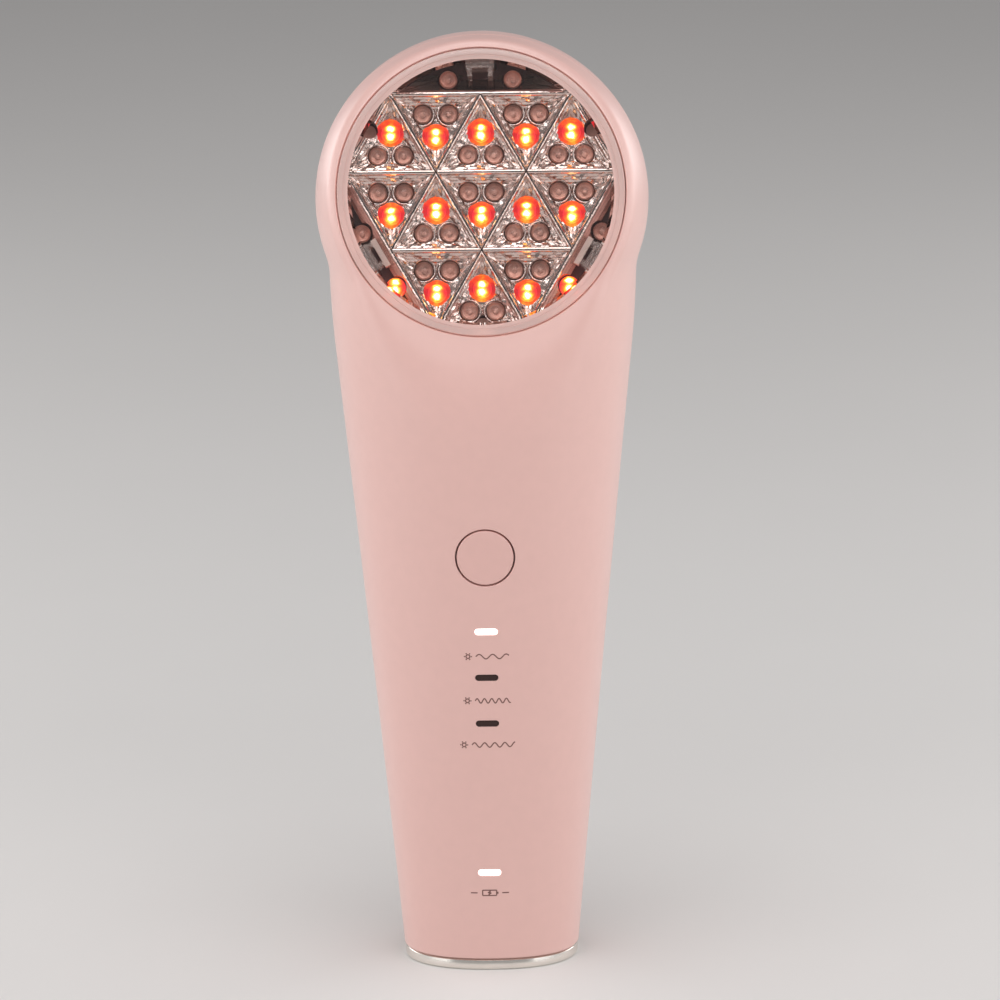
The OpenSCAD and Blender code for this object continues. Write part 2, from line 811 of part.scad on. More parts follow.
module charge_leads() {
    color([0.75, 0.15, 0.12]) wire(charge_xs[0], charge_route, wire_r);
    color([0.1, 0.1, 0.1]) wire(charge_xs[1], charge_route, wire_r);
}

front_shell();
rear_shell();
shell_screws();
screw_plugs();
base_ring();
base_cap();
base_screws();
base_pad();
lens_cover();
lens_seal();
reflector();
red_leds();
blue_leds();
green_leds();
led_board();
led_board_screws();
led_carrier();
led_driver_chip();
led_resistors();
led_socket();
led_harness();
main_board();
board_screws();
controller_chip();
charger_chip();
power_inductor();
board_capacitors();
harness_socket();
battery_socket();
indicator_leds();
light_pipe_1();
light_pipe_2();
light_pipe_3();
light_pipe_charge();
mode_light_shield();
charge_light_shield();
power_button();
button_membrane();
tact_switch();
switch_plunger();
battery_cell();
cell_tabs();
protection_board();
battery_tray();
battery_pads();
battery_leads();
charge_jack();
jack_pin();
charge_leads();
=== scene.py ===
"""Looks of a hand-held LED light-therapy wand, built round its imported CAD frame.

Shapes are worked out in millimetres, with the same driving values as the CAD part, and become metres
when a piece is made. +Z runs up the handle, and the lens and the button look towards -Y.
"""

import json
from math import cos, pi, radians, sin

import bpy
import numpy as np
from mathutils import Matrix, Vector


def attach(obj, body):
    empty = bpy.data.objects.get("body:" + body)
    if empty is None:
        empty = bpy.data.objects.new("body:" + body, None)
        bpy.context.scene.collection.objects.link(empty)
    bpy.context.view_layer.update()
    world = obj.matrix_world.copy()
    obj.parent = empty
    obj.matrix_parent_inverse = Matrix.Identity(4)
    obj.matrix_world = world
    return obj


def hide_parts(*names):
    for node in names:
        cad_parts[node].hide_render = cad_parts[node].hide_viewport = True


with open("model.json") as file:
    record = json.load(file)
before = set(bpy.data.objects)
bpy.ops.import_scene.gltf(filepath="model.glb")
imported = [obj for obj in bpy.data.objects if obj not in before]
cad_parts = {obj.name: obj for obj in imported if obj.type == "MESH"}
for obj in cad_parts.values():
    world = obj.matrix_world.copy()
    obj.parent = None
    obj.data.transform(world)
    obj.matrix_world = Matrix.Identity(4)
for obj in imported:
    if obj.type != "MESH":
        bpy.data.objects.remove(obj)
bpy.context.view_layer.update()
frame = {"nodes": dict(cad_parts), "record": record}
nodes = frame["nodes"]

MM = 0.001

# Housing
FOOT_HALF_W, FOOT_HALF_D = 15.4, 13.9
SIDE_TAPER, SIDE_FLARE = 0.0925, 0.00005
FRONT_TAPER, BACK_TAPER = 0.086, 0.08
SQUARENESS = 2.3
NECK_HALF_W, NECK_BLEND = 27.35, 1.0
HANDLE_TOP, CREASE_BLEND = 134.0, 0.7
HEAD_R, HEAD_Z = 29.6, 138.5
LENS_OFFSET, LENS_TILT = 12.5, radians(17)
LENS_EDGE_BLEND, BEND_BLEND, BEND_Z = 1.3, 3.0, (112.0, 124.0)
SEAM_Z, STRAIGHT_Z, NECK_ANGLE = 2.1, 112.0, -22.5
LEVEL_ROWS, NECK_ROWS, BALL_ROWS = 106, 27, 117
WALL = 2.0
GROOVE_W, GROOVE_DEPTH = 0.22, 0.12

# Lens and light cells, measured from the lens's outer face
LENS_R, LENS_THICK = 25.45, 1.8
LENS_HOLE_R = LENS_R + 0.23
SKIRT_R, SKIRT_DEPTH, LENS_RIM_R = 24.0, 7.6, 23.6
CLIP_ANGLES, CLIP_R, CLIP_W, CLIP_DEPTH = (90, 210, 330), 22.7, 5.0, 15.6
CLIP_RIBS, RIB_TURN = (2.0, 1.2, 1.2), 5.0
RIDGE, REFLECTOR_BACK, BOARD_FRONT = -3.0, -10.3, -11.4
CELL = 16.02
CELL_H = CELL * 3**0.5 / 2
PATTERN_DROP = 0.85
ROW_TOP = CELL_H * 4 / 3 - PATTERN_DROP
ROW_LOW = ROW_TOP - 3 * CELL_H
REFLECTOR_R, APRON_TOP = 23.3, 21.4
LED_THROW, LED_R, LED_H, LED_FLANGE_R = 2.66, 1.6, 5.4, 1.8
LED_SCREW_ANGLES, LED_SCREW_RING, LED_SCREW_HOLE_R = (30, 150, 270), 22.95, 1.6
EDGE_LED_HOLE_R = 2.0
LOW_LED, TOP_LED, SIDE_LED = (15.4, -16.2), (5.7, 20.5), (21.3, -6.7)

# Controls
FRONT_SLOPE = np.arctan(FRONT_TAPER)
BUTTON_Z, BUTTON_R, BUTTON_GAP = 77.5, 5.05, 0.3
LIGHT_ZS = (63.7, 55.1, 46.5, 18.4)
WINDOW_W, WINDOW_H = 4.15, 1.2
MARK_DROPS = (4.6, 4.3, 4.0, 3.8)
PLUG_SITES = ((10.2, 16), (-10.2, 16), (10, 108), (-10, 108))
PLUG_R = 2.15
JACK_Z, JACK_MOUTH_Y, JACK_HOLE_R = 9.0, 14.2, 3.1


# ---- shape of the housing, the same as the CAD part's ----


def smooth_max(a, b, k):
    """The larger of two values, rounded where they are within k of each other."""
    h = np.maximum(k - np.abs(a - b), 0) / k
    return np.maximum(a, b) + h * h * k / 4


def smooth_min(a, b, k):
    return -smooth_max(-a, -b, k)


LENS_DIR = np.array([0, -cos(LENS_TILT), sin(LENS_TILT)])
HEAD_CENTRE = np.array([0, 0, HEAD_Z])


def half_width(z):
    return smooth_min(FOOT_HALF_W + SIDE_TAPER * z + SIDE_FLARE * z * z, NECK_HALF_W, NECK_BLEND)


def half_depth(y, z):
    return FOOT_HALF_D + np.where(y < 0, FRONT_TAPER, BACK_TAPER) * z


def body_dist(p):
    """How far points are outside the housing's surface, in about millimetres."""
    x, y, z = p[..., 0], p[..., 1], p[..., 2]
    wide = (np.abs(x) / half_width(z)) ** SQUARENESS
    deep = (np.abs(y) / half_depth(y, z)) ** SQUARENESS
    share = np.maximum((wide + deep) ** (1 / SQUARENESS), 0.01)
    handle = np.maximum(np.hypot(x, y) * (1 - 1 / share), z - HANDLE_TOP)
    head = np.linalg.norm(p - HEAD_CENTRE, axis=-1) - HEAD_R
    face = (p - HEAD_CENTRE) @ LENS_DIR - LENS_OFFSET
    t = np.clip((z - BEND_Z[0]) / (BEND_Z[1] - BEND_Z[0]), 0, 1)
    blend = BEND_BLEND + (LENS_EDGE_BLEND - BEND_BLEND) * t
    return smooth_max(smooth_min(handle, head, CREASE_BLEND), face, blend)


def outward(p, step=0.02):
    """The surface's normals at points on it."""
    turn = np.stack(
        [body_dist(p + step * axis) - body_dist(p - step * axis) for axis in np.eye(3)], axis=-1
    )
    return turn / np.linalg.norm(turn, axis=-1, keepdims=True)


def cast(origins, rays, level=0.0, near=4.0, far=44.0, halvings=28):
    """Where rays from inside the housing reach its surface, or another level of body_dist."""
    near = np.full(origins.shape[:-1], near)
    far = np.full(origins.shape[:-1], far)
    for _ in range(halvings):
        middle = (near + far) / 2
        inside = body_dist(origins + middle[..., None] * rays) < level
        near = np.where(inside, middle, near)
        far = np.where(inside, far, middle)
    return origins + ((near + far) / 2)[..., None] * rays


# ---- places: a turn and an origin, in millimetres ----

FLAT = (np.eye(3), np.zeros(3))


def place(origin, x_axis, z_axis):
    """A local frame in millimetres, with Z out of a surface."""
    x, z = Vector(x_axis).normalized(), Vector(z_axis).normalized()
    y = z.cross(x)
    return np.array(Matrix((x, y, z)).transposed()), np.array(origin, float)


def put(where, points):
    """Points of a local frame in the wand's own."""
    turn, origin = where
    return np.asarray(points, float) @ turn.T + origin


def at_lens(w=0.0):
    """On the lens's axis, w in front of its outer face."""
    return place(HEAD_CENTRE + (LENS_OFFSET + w) * LENS_DIR, (1, 0, 0), LENS_DIR)


def at_front(z, depth=0.0):
    """On the handle's sloping front, or below its surface."""
    out = np.array([0, -cos(FRONT_SLOPE), -sin(FRONT_SLOPE)])
    return place(np.array([0, -FOOT_HALF_D - FRONT_TAPER * z, z]) - depth * out, (1, 0, 0), out)


def at_back(x, z, reach=30.0):
    """On the back's surface, square to it."""
    hit = cast(np.array([x, 0.0, z]), np.array([0.0, 1.0, 0.0]), far=reach)
    out = outward(hit)
    return place(hit, np.cross((0, 0, 1), out), out)


def over_surface(where, flat, reach=6.0):
    """Heights of the housing's surface above the local plane at flat points (x, y)."""
    turn, origin = where
    start = put(where, np.column_stack([flat, np.full(len(flat), -reach)]))
    hits = cast(start, np.broadcast_to(turn[:, 2], start.shape), near=0.0, far=2 * reach)
    return (hits - origin) @ turn[:, 2]


# ---- making pieces ----


def mesh_from(name, points, faces):
    mesh = bpy.data.meshes.new(name)
    mesh.from_pydata((np.asarray(points, float) * MM).tolist(), [], [list(map(int, f)) for f in faces])
    mesh.validate()
    return mesh


def soften(mesh, angle=35):
    mesh.shade_smooth()
    mesh.set_sharp_from_angle(angle=radians(angle))


def piece(name, mesh, look, replaced=(), body="housing", angle=35, smooth=True):
    """An object that rides on a body, stands for CAD nodes and has one of the named materials."""
    if smooth:
        soften(mesh, angle)
    obj = bpy.data.objects.new(name, mesh)
    bpy.context.scene.collection.objects.link(obj)
    mesh.materials.clear()
    mesh.materials.append(materials[look])
    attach(obj, body)
    if replaced:
        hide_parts(*replaced)
    return obj


def solid(name, shape, look, replaced=(), angle=35):
    """A piece of the housing made straight from points and faces."""
    return piece(name, mesh_from(name, *shape), look, replaced, angle=angle)


def join(parts):
    """One list of points and faces from several."""
    points, faces, count = [], [], 0
    for p, f in parts:
        points.append(np.asarray(p, float))
        faces += [[i + count for i in face] for face in f]
        count += len(p)
    return np.concatenate(points), faces


def combine(first, others, operation):
    """A solid mesh joined with, or cut by, other solids."""
    obj = bpy.data.objects.new("work", first)
    bpy.context.scene.collection.objects.link(obj)
    helpers = []
    for other in others:
        helper = bpy.data.objects.new("tool", other)
        bpy.context.scene.collection.objects.link(helper)
        helpers.append(helper)
        step = obj.modifiers.new("step", "BOOLEAN")
        step.operation = operation
        step.solver = "MANIFOLD"
        step.object = helper
    bpy.context.view_layer.update()
    seen = obj.evaluated_get(bpy.context.evaluated_depsgraph_get())
    result = bpy.data.meshes.new_from_object(seen)
    result.name = first.name
    for extra in helpers + [obj]:
        bpy.data.objects.remove(extra)
    return result


def stack(rings, closed=False):
    """A skin over rings of points. An open stack gets flat ends, and a closed one joins up with its start."""
    n = len(rings[0])
    points = np.concatenate([np.asarray(r, float) for r in rings])
    faces = []
    pairs = len(rings) if closed else len(rings) - 1
    for i in range(pairs):
        a, b = i * n, (i + 1) % len(rings) * n
        faces += [[a + j, a + (j + 1) % n, b + (j + 1) % n, b + j] for j in range(n)]
    if not closed:
        faces.append(list(range(n))[::-1])
        faces.append([len(points) - n + j for j in range(n)])
    return points, faces


def circle(radius, segments=96):
    turn = np.arange(segments) * 2 * pi / segments
    return np.column_stack([radius * np.cos(turn), radius * np.sin(turn)])


def capsule(width, height, segments=48):
    """Outline of a slot with round ends."""
    turn = (np.arange(segments) + 0.5) * 2 * pi / segments
    points = np.column_stack([np.cos(turn), np.sin(turn)]) * height / 2
    points[:, 0] += np.sign(points[:, 0]) * (width - height) / 2
    return points


def ring(flat, w):
    return np.column_stack([flat, np.broadcast_to(w, len(flat))])


def lathe(where, profile, segments=64, closed=False):
    """A turned solid: profile is (radius, height) points from the bottom up."""
    rings = [ring(circle(max(r, 0.001), segments), w) for r, w in profile]
    points, faces = stack(rings, closed)
    return put(where, points), faces


def extrude(where, flat, low, high):
    points, faces = stack([ring(flat, low), ring(flat, high)])
    return put(where, points), faces


def plug(where, outline, bottom, top, edge, steps=5):
    """A plug whose top follows the housing's surface at a height top, with a rounded edge."""
    rings = [ring(outline(0), bottom)]
    for i in range(steps + 1):
        t = pi / 2 * i / steps
        flat = outline(-edge * (1 - cos(t)))
        rings.append(ring(flat, over_surface(where, flat) + top - edge * (1 - sin(t))))
    inner = outline(-edge)
    for share in (0.75, 0.5, 0.25, 0.02):
        flat = inner * share
        rings.append(ring(flat, over_surface(where, flat) + top))
    points, faces = stack(rings)
    return put(where, points), faces


def well(where, outline, bottom, edge, steps=5, sweep=72):
    """A cutter for a hole with a rounded mouth in the housing's surface."""
    rings = [ring(outline(0), bottom)]
    for i in range(steps + 1):
        t = radians(sweep) * i / steps
        flat = outline(edge * (1 - cos(t)))
        rings.append(ring(flat, over_surface(where, flat) - edge * (1 - sin(t))))
    flat = outline(edge * (1 - cos(radians(sweep))) + 0.02)
    rings.append(ring(flat, over_surface(where, flat) + 6))
    points, faces = stack(rings)
    return put(where, points), faces


def tool(shape):
    """A solid that is only joined to others or cut out of them."""
    return mesh_from("tool", *shape)


# ---- materials ----


def node_material(name):
    material = bpy.data.materials.new(name)
    material.use_nodes = True
    return material, material.node_tree, material.node_tree.nodes["Principled BSDF"]


def add_node(tree, kind, **settings):
    made = tree.nodes.new(kind)
    for key, value in settings.items():
        if key in ("operation", "attribute_name"):
            setattr(made, key, value)
        else:
            made.inputs[key.replace("_", " ")].default_value = value
    return made


def speckle(tree, scale, detail=3.0):
    """Noise in the object's own metres."""
    coords = tree.nodes.new("ShaderNodeTexCoord")
    noise = add_node(tree, "ShaderNodeTexNoise", Scale=scale, Detail=detail)
    tree.links.new(coords.outputs["Object"], noise.inputs["Vector"])
    return noise.outputs["Fac"]


def ramp(tree, source, stops):
    made = tree.nodes.new("ShaderNodeValToRGB")
    elements = made.color_ramp.elements
    while len(elements) < len(stops):
        elements.new(0.5)
    for element, (position, colour) in zip(elements, stops, strict=True):
        element.position = position
        element.color = (*colour, 1.0)
    tree.links.new(source, made.inputs["Fac"])
    return made.outputs["Color"]


def linear(rgb):
    """Scene-linear colour from a display colour of 0 to 255."""
    return tuple(((c / 255 + 0.055) / 1.055) ** 2.4 if c > 10 else c / 255 / 12.92 for c in rgb)


PATCHES = 12
RELIEF = 0.0001


def finish(name, rgb, rough, metallic=0.0, spread=0.03, grain=900.0, bump=0.02, rough_spread=0.05,
           coat=0.0, coat_rough=0.08, sheen=0.0, specular=0.5):
    """Moulded, painted or plated surface: a slightly uneven colour, roughness and relief."""
    material, tree, shader = node_material(name)
    colour = linear(rgb)
    dark = tuple(c * (1 - spread) for c in colour)
    light = tuple(min(c * (1 + spread), 1.0) for c in colour)
    patches = speckle(tree, grain / PATCHES)
    fine = speckle(tree, grain)
    tree.links.new(ramp(tree, patches, [(0.3, dark), (0.7, light)]), shader.inputs["Base Color"])
    spread_rough = add_node(tree, "ShaderNodeMapRange", To_Min=max(rough - rough_spread, 0.01),
                            To_Max=min(rough + rough_spread, 1.0))
    tree.links.new(fine, spread_rough.inputs["Value"])
    tree.links.new(spread_rough.outputs["Result"], shader.inputs["Roughness"])
    relief = add_node(tree, "ShaderNodeBump", Strength=bump, Distance=RELIEF)
    tree.links.new(fine, relief.inputs["Height"])
    tree.links.new(relief.outputs["Normal"], shader.inputs["Normal"])
    shader.inputs["Metallic"].default_value = metallic
    shader.inputs["Coat Weight"].default_value = coat
    shader.inputs["Coat Roughness"].default_value = coat_rough
    shader.inputs["Sheen Weight"].default_value = sheen
    shader.inputs["Specular IOR Level"].default_value = specular
    return material


def glowing(name, rgb, strength, warm_rgb):
    """A light pipe that shines almost evenly, in two whites that run into each other."""
    material, tree, shader = node_material(name)
    fine = speckle(tree, 700.0)
    colour = ramp(tree, fine, [(0.2, linear(warm_rgb)), (0.6, linear(rgb))])
    tree.links.new(colour, shader.inputs["Emission Color"])
    tree.links.new(colour, shader.inputs["Base Color"])
    shader.inputs["Emission Strength"].default_value = strength
    shader.inputs["Roughness"].default_value = 0.3
    return material


def clear(name, rgb, rough, grain=1500.0, bump=0.0, ior=1.49, clarity=1.0, spread=0.015, shade=0.93):
    """Clear or milky plastic that lets lamps through to what is behind it."""
    material, tree, shader = node_material(name)
    fine = speckle(tree, grain)
    tint = linear(rgb)
    tree.links.new(
        ramp(tree, fine, [(0.3, tuple(c * (1 - spread) for c in tint)), (0.7, tint)]),
        shader.inputs["Base Color"],
    )
    shader.inputs["Transmission Weight"].default_value = clarity
    shader.inputs["Roughness"].default_value = rough
    shader.inputs["IOR"].default_value = ior
    if bump:
        relief = add_node(tree, "ShaderNodeBump", Strength=bump, Distance=2 * RELIEF)
        tree.links.new(fine, relief.inputs["Height"])
        tree.links.new(relief.outputs["Normal"], shader.inputs["Normal"])
    path = tree.nodes.new("ShaderNodeLightPath")
    through = tree.nodes.new("ShaderNodeBsdfTransparent")
    through.inputs["Color"].default_value = (*tuple(c * shade for c in tint), 1.0)
    blend = tree.nodes.new("ShaderNodeMixShader")
    tree.links.new(path.outputs["Is Shadow Ray"], blend.inputs["Fac"])
    tree.links.new(shader.outputs["BSDF"], blend.inputs[1])
    tree.links.new(through.outputs["BSDF"], blend.inputs[2])
    tree.links.new(blend.outputs["Shader"], tree.nodes["Material Output"].inputs["Surface"])
    return material


# The glow of a lit LED, in bulb radii: the die and its reflection in the cup, each with its place and the
# squash that makes it oval, and the colours from their middles outwards
GLOW_SPOTS = (((0.0, 0.46, 0.0), (0.85, 1.05, 0.0)), ((0.0, -0.42, 0.0), (0.8, 0.85, 0.0)))
GLOW_COLOURS = [
    (0.2, (1.0, 0.95, 0.62)), (0.31, (0.9, 0.55, 0.08)), (0.41, (0.55, 0.2, 0.015)),
    (0.55, (0.38, 0.06, 0.008)), (0.7, (0.31, 0.02, 0.012)), (0.84, (0.22, 0.009, 0.014)),
]
GLOW_WANDER = 0.5
# How much brighter the sides are, and between which depths below the tip that fades, in bulb radii
SIDE_GLOW, SIDE_FROM, SIDE_TO = 1.15, 1.6, 0.7


def lit_bulb(name, strength):
    """A lit LED: two hot spots in orange, red towards the rim, and a little brighter down its sides."""
    material, tree, shader = node_material(name)
    link = tree.links.new
    own = add_node(tree, "ShaderNodeAttribute", attribute_name="bulb")
    wander = add_node(tree, "ShaderNodeTexNoise", Scale=1400.0)
    coords = tree.nodes.new("ShaderNodeTexCoord")
    link(coords.outputs["Object"], wander.inputs["Vector"])

    def vector_math(operation, source, *others):
        made = add_node(tree, "ShaderNodeVectorMath", operation=operation)
        link(source, made.inputs[0])
        for i, other in enumerate(others, 1):
            if isinstance(other, tuple):
                made.inputs[i].default_value = other
            else:
                link(other, made.inputs[i])
        return made.outputs["Value" if operation == "LENGTH" else "Vector"]

    drift = vector_math("MULTIPLY_ADD", wander.outputs["Color"], (GLOW_WANDER, GLOW_WANDER, 0.0),
                        (-GLOW_WANDER / 2, -GLOW_WANDER / 2, 0.0))
    moved = vector_math("ADD", own.outputs["Vector"], drift)
    nearest = add_node(tree, "ShaderNodeMath", operation="MINIMUM")
    for i, (centre, squash) in enumerate(GLOW_SPOTS):
        scaled = vector_math("MULTIPLY", vector_math("SUBTRACT", moved, centre), squash)
        link(vector_math("LENGTH", scaled), nearest.inputs[i])
    link(ramp(tree, nearest.outputs["Value"], GLOW_COLOURS), shader.inputs["Emission Color"])
    split = tree.nodes.new("ShaderNodeSeparateXYZ")
    link(own.outputs["Vector"], split.inputs["Vector"])
    dome = add_node(tree, "ShaderNodeMapRange", From_Min=(LED_H - SIDE_FROM * LED_R) / LED_R,
                    From_Max=(LED_H - SIDE_TO * LED_R) / LED_R, To_Min=strength * SIDE_GLOW, To_Max=strength)
    link(split.outputs["Z"], dome.inputs["Value"])
    link(dome.outputs["Result"], shader.inputs["Emission Strength"])
    link(ramp(tree, wander.outputs["Fac"], [(0.3, (0.3, 0.02, 0.01)), (0.7, (0.4, 0.04, 0.02))]),
         shader.inputs["Base Color"])
    shader.inputs["Roughness"].default_value = 0.12
    return material


materials = {
    "housing_pink": finish("housing_pink", (222, 178, 170), 0.42, spread=0.012, grain=6000, bump=0.05,
                           coat=0.45, coat_rough=0.38, specular=0.9, sheen=0.1),
    "button_pink": finish("button_pink", (220, 175, 167), 0.38, spread=0.012, grain=6000, bump=0.05, coat=0.4,
                          coat_rough=0.38, specular=0.9),
    "chrome": finish("chrome", (236, 231, 224), 0.2, metallic=1.0, spread=0.02, grain=3000, bump=0.01,
                     rough_spread=0.03),
    "foot_rubber": finish("foot_rubber", (164, 146, 143), 0.75, spread=0.06, grain=5000, bump=0.3),
    "steel": finish("steel", (176, 176, 180), 0.32, metallic=1.0, spread=0.08, grain=5000, bump=0.1),
    "lens_clear": clear("lens_clear", (252, 250, 249), 0.0),
    "lens_rim": clear("lens_rim", (252, 222, 215), 0.14, bump=0.05, clarity=0.5),
    "lens_frosted": clear("lens_frosted", (236, 220, 214), 0.07, bump=0.3, clarity=0.86),
    "seal_rubber": finish("seal_rubber", (196, 184, 181), 0.6, spread=0.05, grain=4000, bump=0.2),
    "reflector_chrome": finish("reflector_chrome", (226, 208, 202), 0.06, metallic=1.0, spread=0.05,
                               grain=1300, bump=1.0, rough_spread=0.04),
    # A darker copy of the reflector's chrome for the apron: painted shade, as the real chrome there only
    # reflects dark surroundings
    "reflector_dark": finish("reflector_dark", (158, 142, 137), 0.12, metallic=1.0, spread=0.1, grain=1300,
                             bump=0.3),
    "reflector_satin": finish("reflector_satin", (240, 231, 225), 0.5, metallic=0.4, spread=0.08, grain=1500,
                              bump=0.2),
    "reflector_lip": finish("reflector_lip", (246, 234, 229), 0.16, metallic=1.0, spread=0.05, grain=2500,
                            bump=0.1),
    "screw_brown": finish("screw_brown", (205, 165, 152), 0.45, metallic=0.2,
                          spread=0.1, grain=4000, bump=0.1),
    "led_lit": lit_bulb("led_lit", 3.4),
    "led_clear": clear("led_clear", (224, 196, 188), 0.04, grain=1800, bump=0.3, ior=1.38, clarity=0.96),
    "led_die": finish("led_die", (232, 202, 192), 0.3, metallic=0.5, spread=0.25, grain=9000, bump=0.3),
    "led_board_dark": finish("led_board_dark", (70, 30, 30), 0.45, spread=0.2, grain=2500, bump=0.1),
    "white_plastic": finish("white_plastic", (226, 220, 214), 0.5, spread=0.03, grain=3000, bump=0.05),
    "board_green": finish("board_green", (28, 94, 62), 0.4, spread=0.15, grain=2500, bump=0.1),
    "chip_black": finish("chip_black", (32, 32, 35), 0.6, spread=0.1, grain=5000, bump=0.2),
    "capacitor_tan": finish("capacitor_tan", (168, 134, 96), 0.5, spread=0.08, grain=4000, bump=0.1),
    "indicator_led": finish("indicator_led", (242, 234, 196), 0.3, spread=0.04, grain=3000, bump=0.05),
    "window_lit": glowing("window_lit", (255, 255, 255), 1.6, (255, 250, 246)),
    "window_dark": finish("window_dark", (48, 27, 23), 0.3, spread=0.06, grain=1500, bump=0.02,
                          specular=0.35),
    "black_plastic": finish("black_plastic", (30, 30, 33), 0.5, spread=0.1, grain=5000, bump=0.15),
    "cell_wrap": finish("cell_wrap", (48, 96, 146), 0.35, spread=0.05, grain=2500, bump=0.08),
    "nickel": finish("nickel", (198, 194, 184), 0.3, metallic=1.0, spread=0.06, grain=5000, bump=0.1),
    "foam": finish("foam", (50, 50, 52), 0.9, spread=0.2, grain=7000, bump=0.6),
    "wire": finish("wire", (160, 44, 36), 0.45, spread=0.06, grain=3000, bump=0.1),
    "contact_brass": finish("contact_brass", (206, 174, 104), 0.25, metallic=1.0, spread=0.06, grain=4000,
                            bump=0.08),
    "mark_print": finish("mark_print", (116, 80, 74), 0.6, spread=0.05, grain=5000, bump=0.1),
}
SLOT_OF_LOOK = {part["material_slot"]: part["material_slot"] for part in frame["record"]["subparts"]}
SLOT_OF_LOOK.update(lens_rim="lens_clear", lens_frosted="lens_clear", reflector_dark="reflector_chrome",
                    reflector_satin="reflector_chrome", reflector_lip="reflector_chrome",
                    led_die="led_clear")
for part in frame["record"]["subparts"]:
    node = nodes[part["node"]]
    node.data.materials.clear()
    look = "screw_brown" if part["node"] == "led_board_screws" else part["material_slot"]
    node.data.materials.append(materials[look])


# ---- housing ----


def shell_rows():
    """Heights and elevations of the rays for each row of the shell, from the foot to just under the top."""
    level = [(SEAM_Z, 0.0)] + [(z, 0.0) for z in np.linspace(SEAM_Z + GROOVE_W, STRAIGHT_Z, LEVEL_ROWS)]
    neck = [(STRAIGHT_Z + t * (HEAD_Z - STRAIGHT_Z), t * NECK_ANGLE)
            for t in np.linspace(0, 1, NECK_ROWS)[1:]]
    ball = [(HEAD_Z, e) for e in np.linspace(NECK_ANGLE, 90, BALL_ROWS)[1:-1]]
    return level + neck + ball


def half_shell(name, start, columns=180, inner_step=6):
    """Half of the housing as a closed shell with fine grooves along its parting line and its foot."""
    rows = shell_rows()
    seam_step = 0.45
    columns_between = np.linspace(start + seam_step, start + 180 - seam_step, columns - 1)
    turn = np.radians(np.concatenate([[start], columns_between, [start + 180]]))
    lift = np.radians([e for _, e in rows])
    height = np.array([z for z, _ in rows])
    rays = np.stack([
        np.cos(lift)[:, None] * np.sin(turn),
        -np.cos(lift)[:, None] * np.cos(turn),
        np.broadcast_to(np.sin(lift)[:, None], (len(rows), len(turn))),
    ], axis=-1)
    origins = np.zeros_like(rays)
    origins[..., 2] = height[:, None]
    outer = cast(origins, rays)
    outer[:, [0, -1], 1] = 0
    near_seam = np.clip(1 - np.abs(outer[..., 1]) / GROOVE_W, 0, 1)
    near_foot = np.clip(1 - (outer[..., 2] - SEAM_Z) / GROOVE_W, 0, 1)
    sunk = GROOVE_DEPTH * np.maximum(near_seam, near_foot)[..., None] * outward(outer)
    sunk[0, :, 2] = 0
    outer = outer - sunk
    pole = HEAD_CENTRE + [0, 0, HEAD_R - GROOVE_DEPTH]

    # The inner wall keeps only some of the rows and columns
    keep_rows = np.unique(np.r_[np.arange(0, len(rows) - 1, inner_step), len(rows) - 1])
    keep_columns = np.unique(np.r_[np.arange(0, len(turn) - 1, inner_step), len(turn) - 1])
    inner = cast(origins, rays, -WALL)[np.ix_(keep_rows, keep_columns)]
    inner[:, [0, -1], 1] = 0
    inner_pole = HEAD_CENTRE + [0, 0, HEAD_R - WALL]

    n, m = len(turn), len(keep_columns)
    base = outer.shape[0] * n
    top, low = base, base + 1
    inner_top = low + len(keep_rows) * m
    points = np.concatenate([outer.reshape(-1, 3), [pole], inner.reshape(-1, 3), [inner_pole]])

    def out(r, c):
        return r * n + c

    def inn(r, c):
        return low + r * m + c

    faces = [[out(r, c), out(r, c + 1), out(r + 1, c + 1), out(r + 1, c)]
             for r in range(len(rows) - 1) for c in range(n - 1)]
    faces += [[out(len(rows) - 1, c), out(len(rows) - 1, c + 1), top] for c in range(n - 1)]
    faces += [[inn(r, c), inn(r + 1, c), inn(r + 1, c + 1), inn(r, c + 1)]
              for r in range(len(keep_rows) - 1) for c in range(m - 1)]
    last = len(keep_rows) - 1
    faces += [[inn(last, c), inner_top, inn(last, c + 1)] for c in range(m - 1)]
    for c in range(m - 1):
        run = [out(0, k) for k in range(keep_columns[c], keep_columns[c + 1] + 1)]
        faces.append([inn(0, c), inn(0, c + 1)] + run[::-1])
    for side, inner_side, flip in ((0, 0, False), (n - 1, m - 1, True)):
        for r in range(last):
            run = [out(k, side) for k in range(keep_rows[r], keep_rows[r + 1] + 1)]
            face = [inn(r + 1, inner_side), inn(r, inner_side)] + run
            faces.append(face[::-1] if flip else face)
        face = [inner_top, inn(last, inner_side), out(len(rows) - 1, side), top]
        faces.append(face[::-1] if flip else face)
    return mesh_from(name, points, faces)


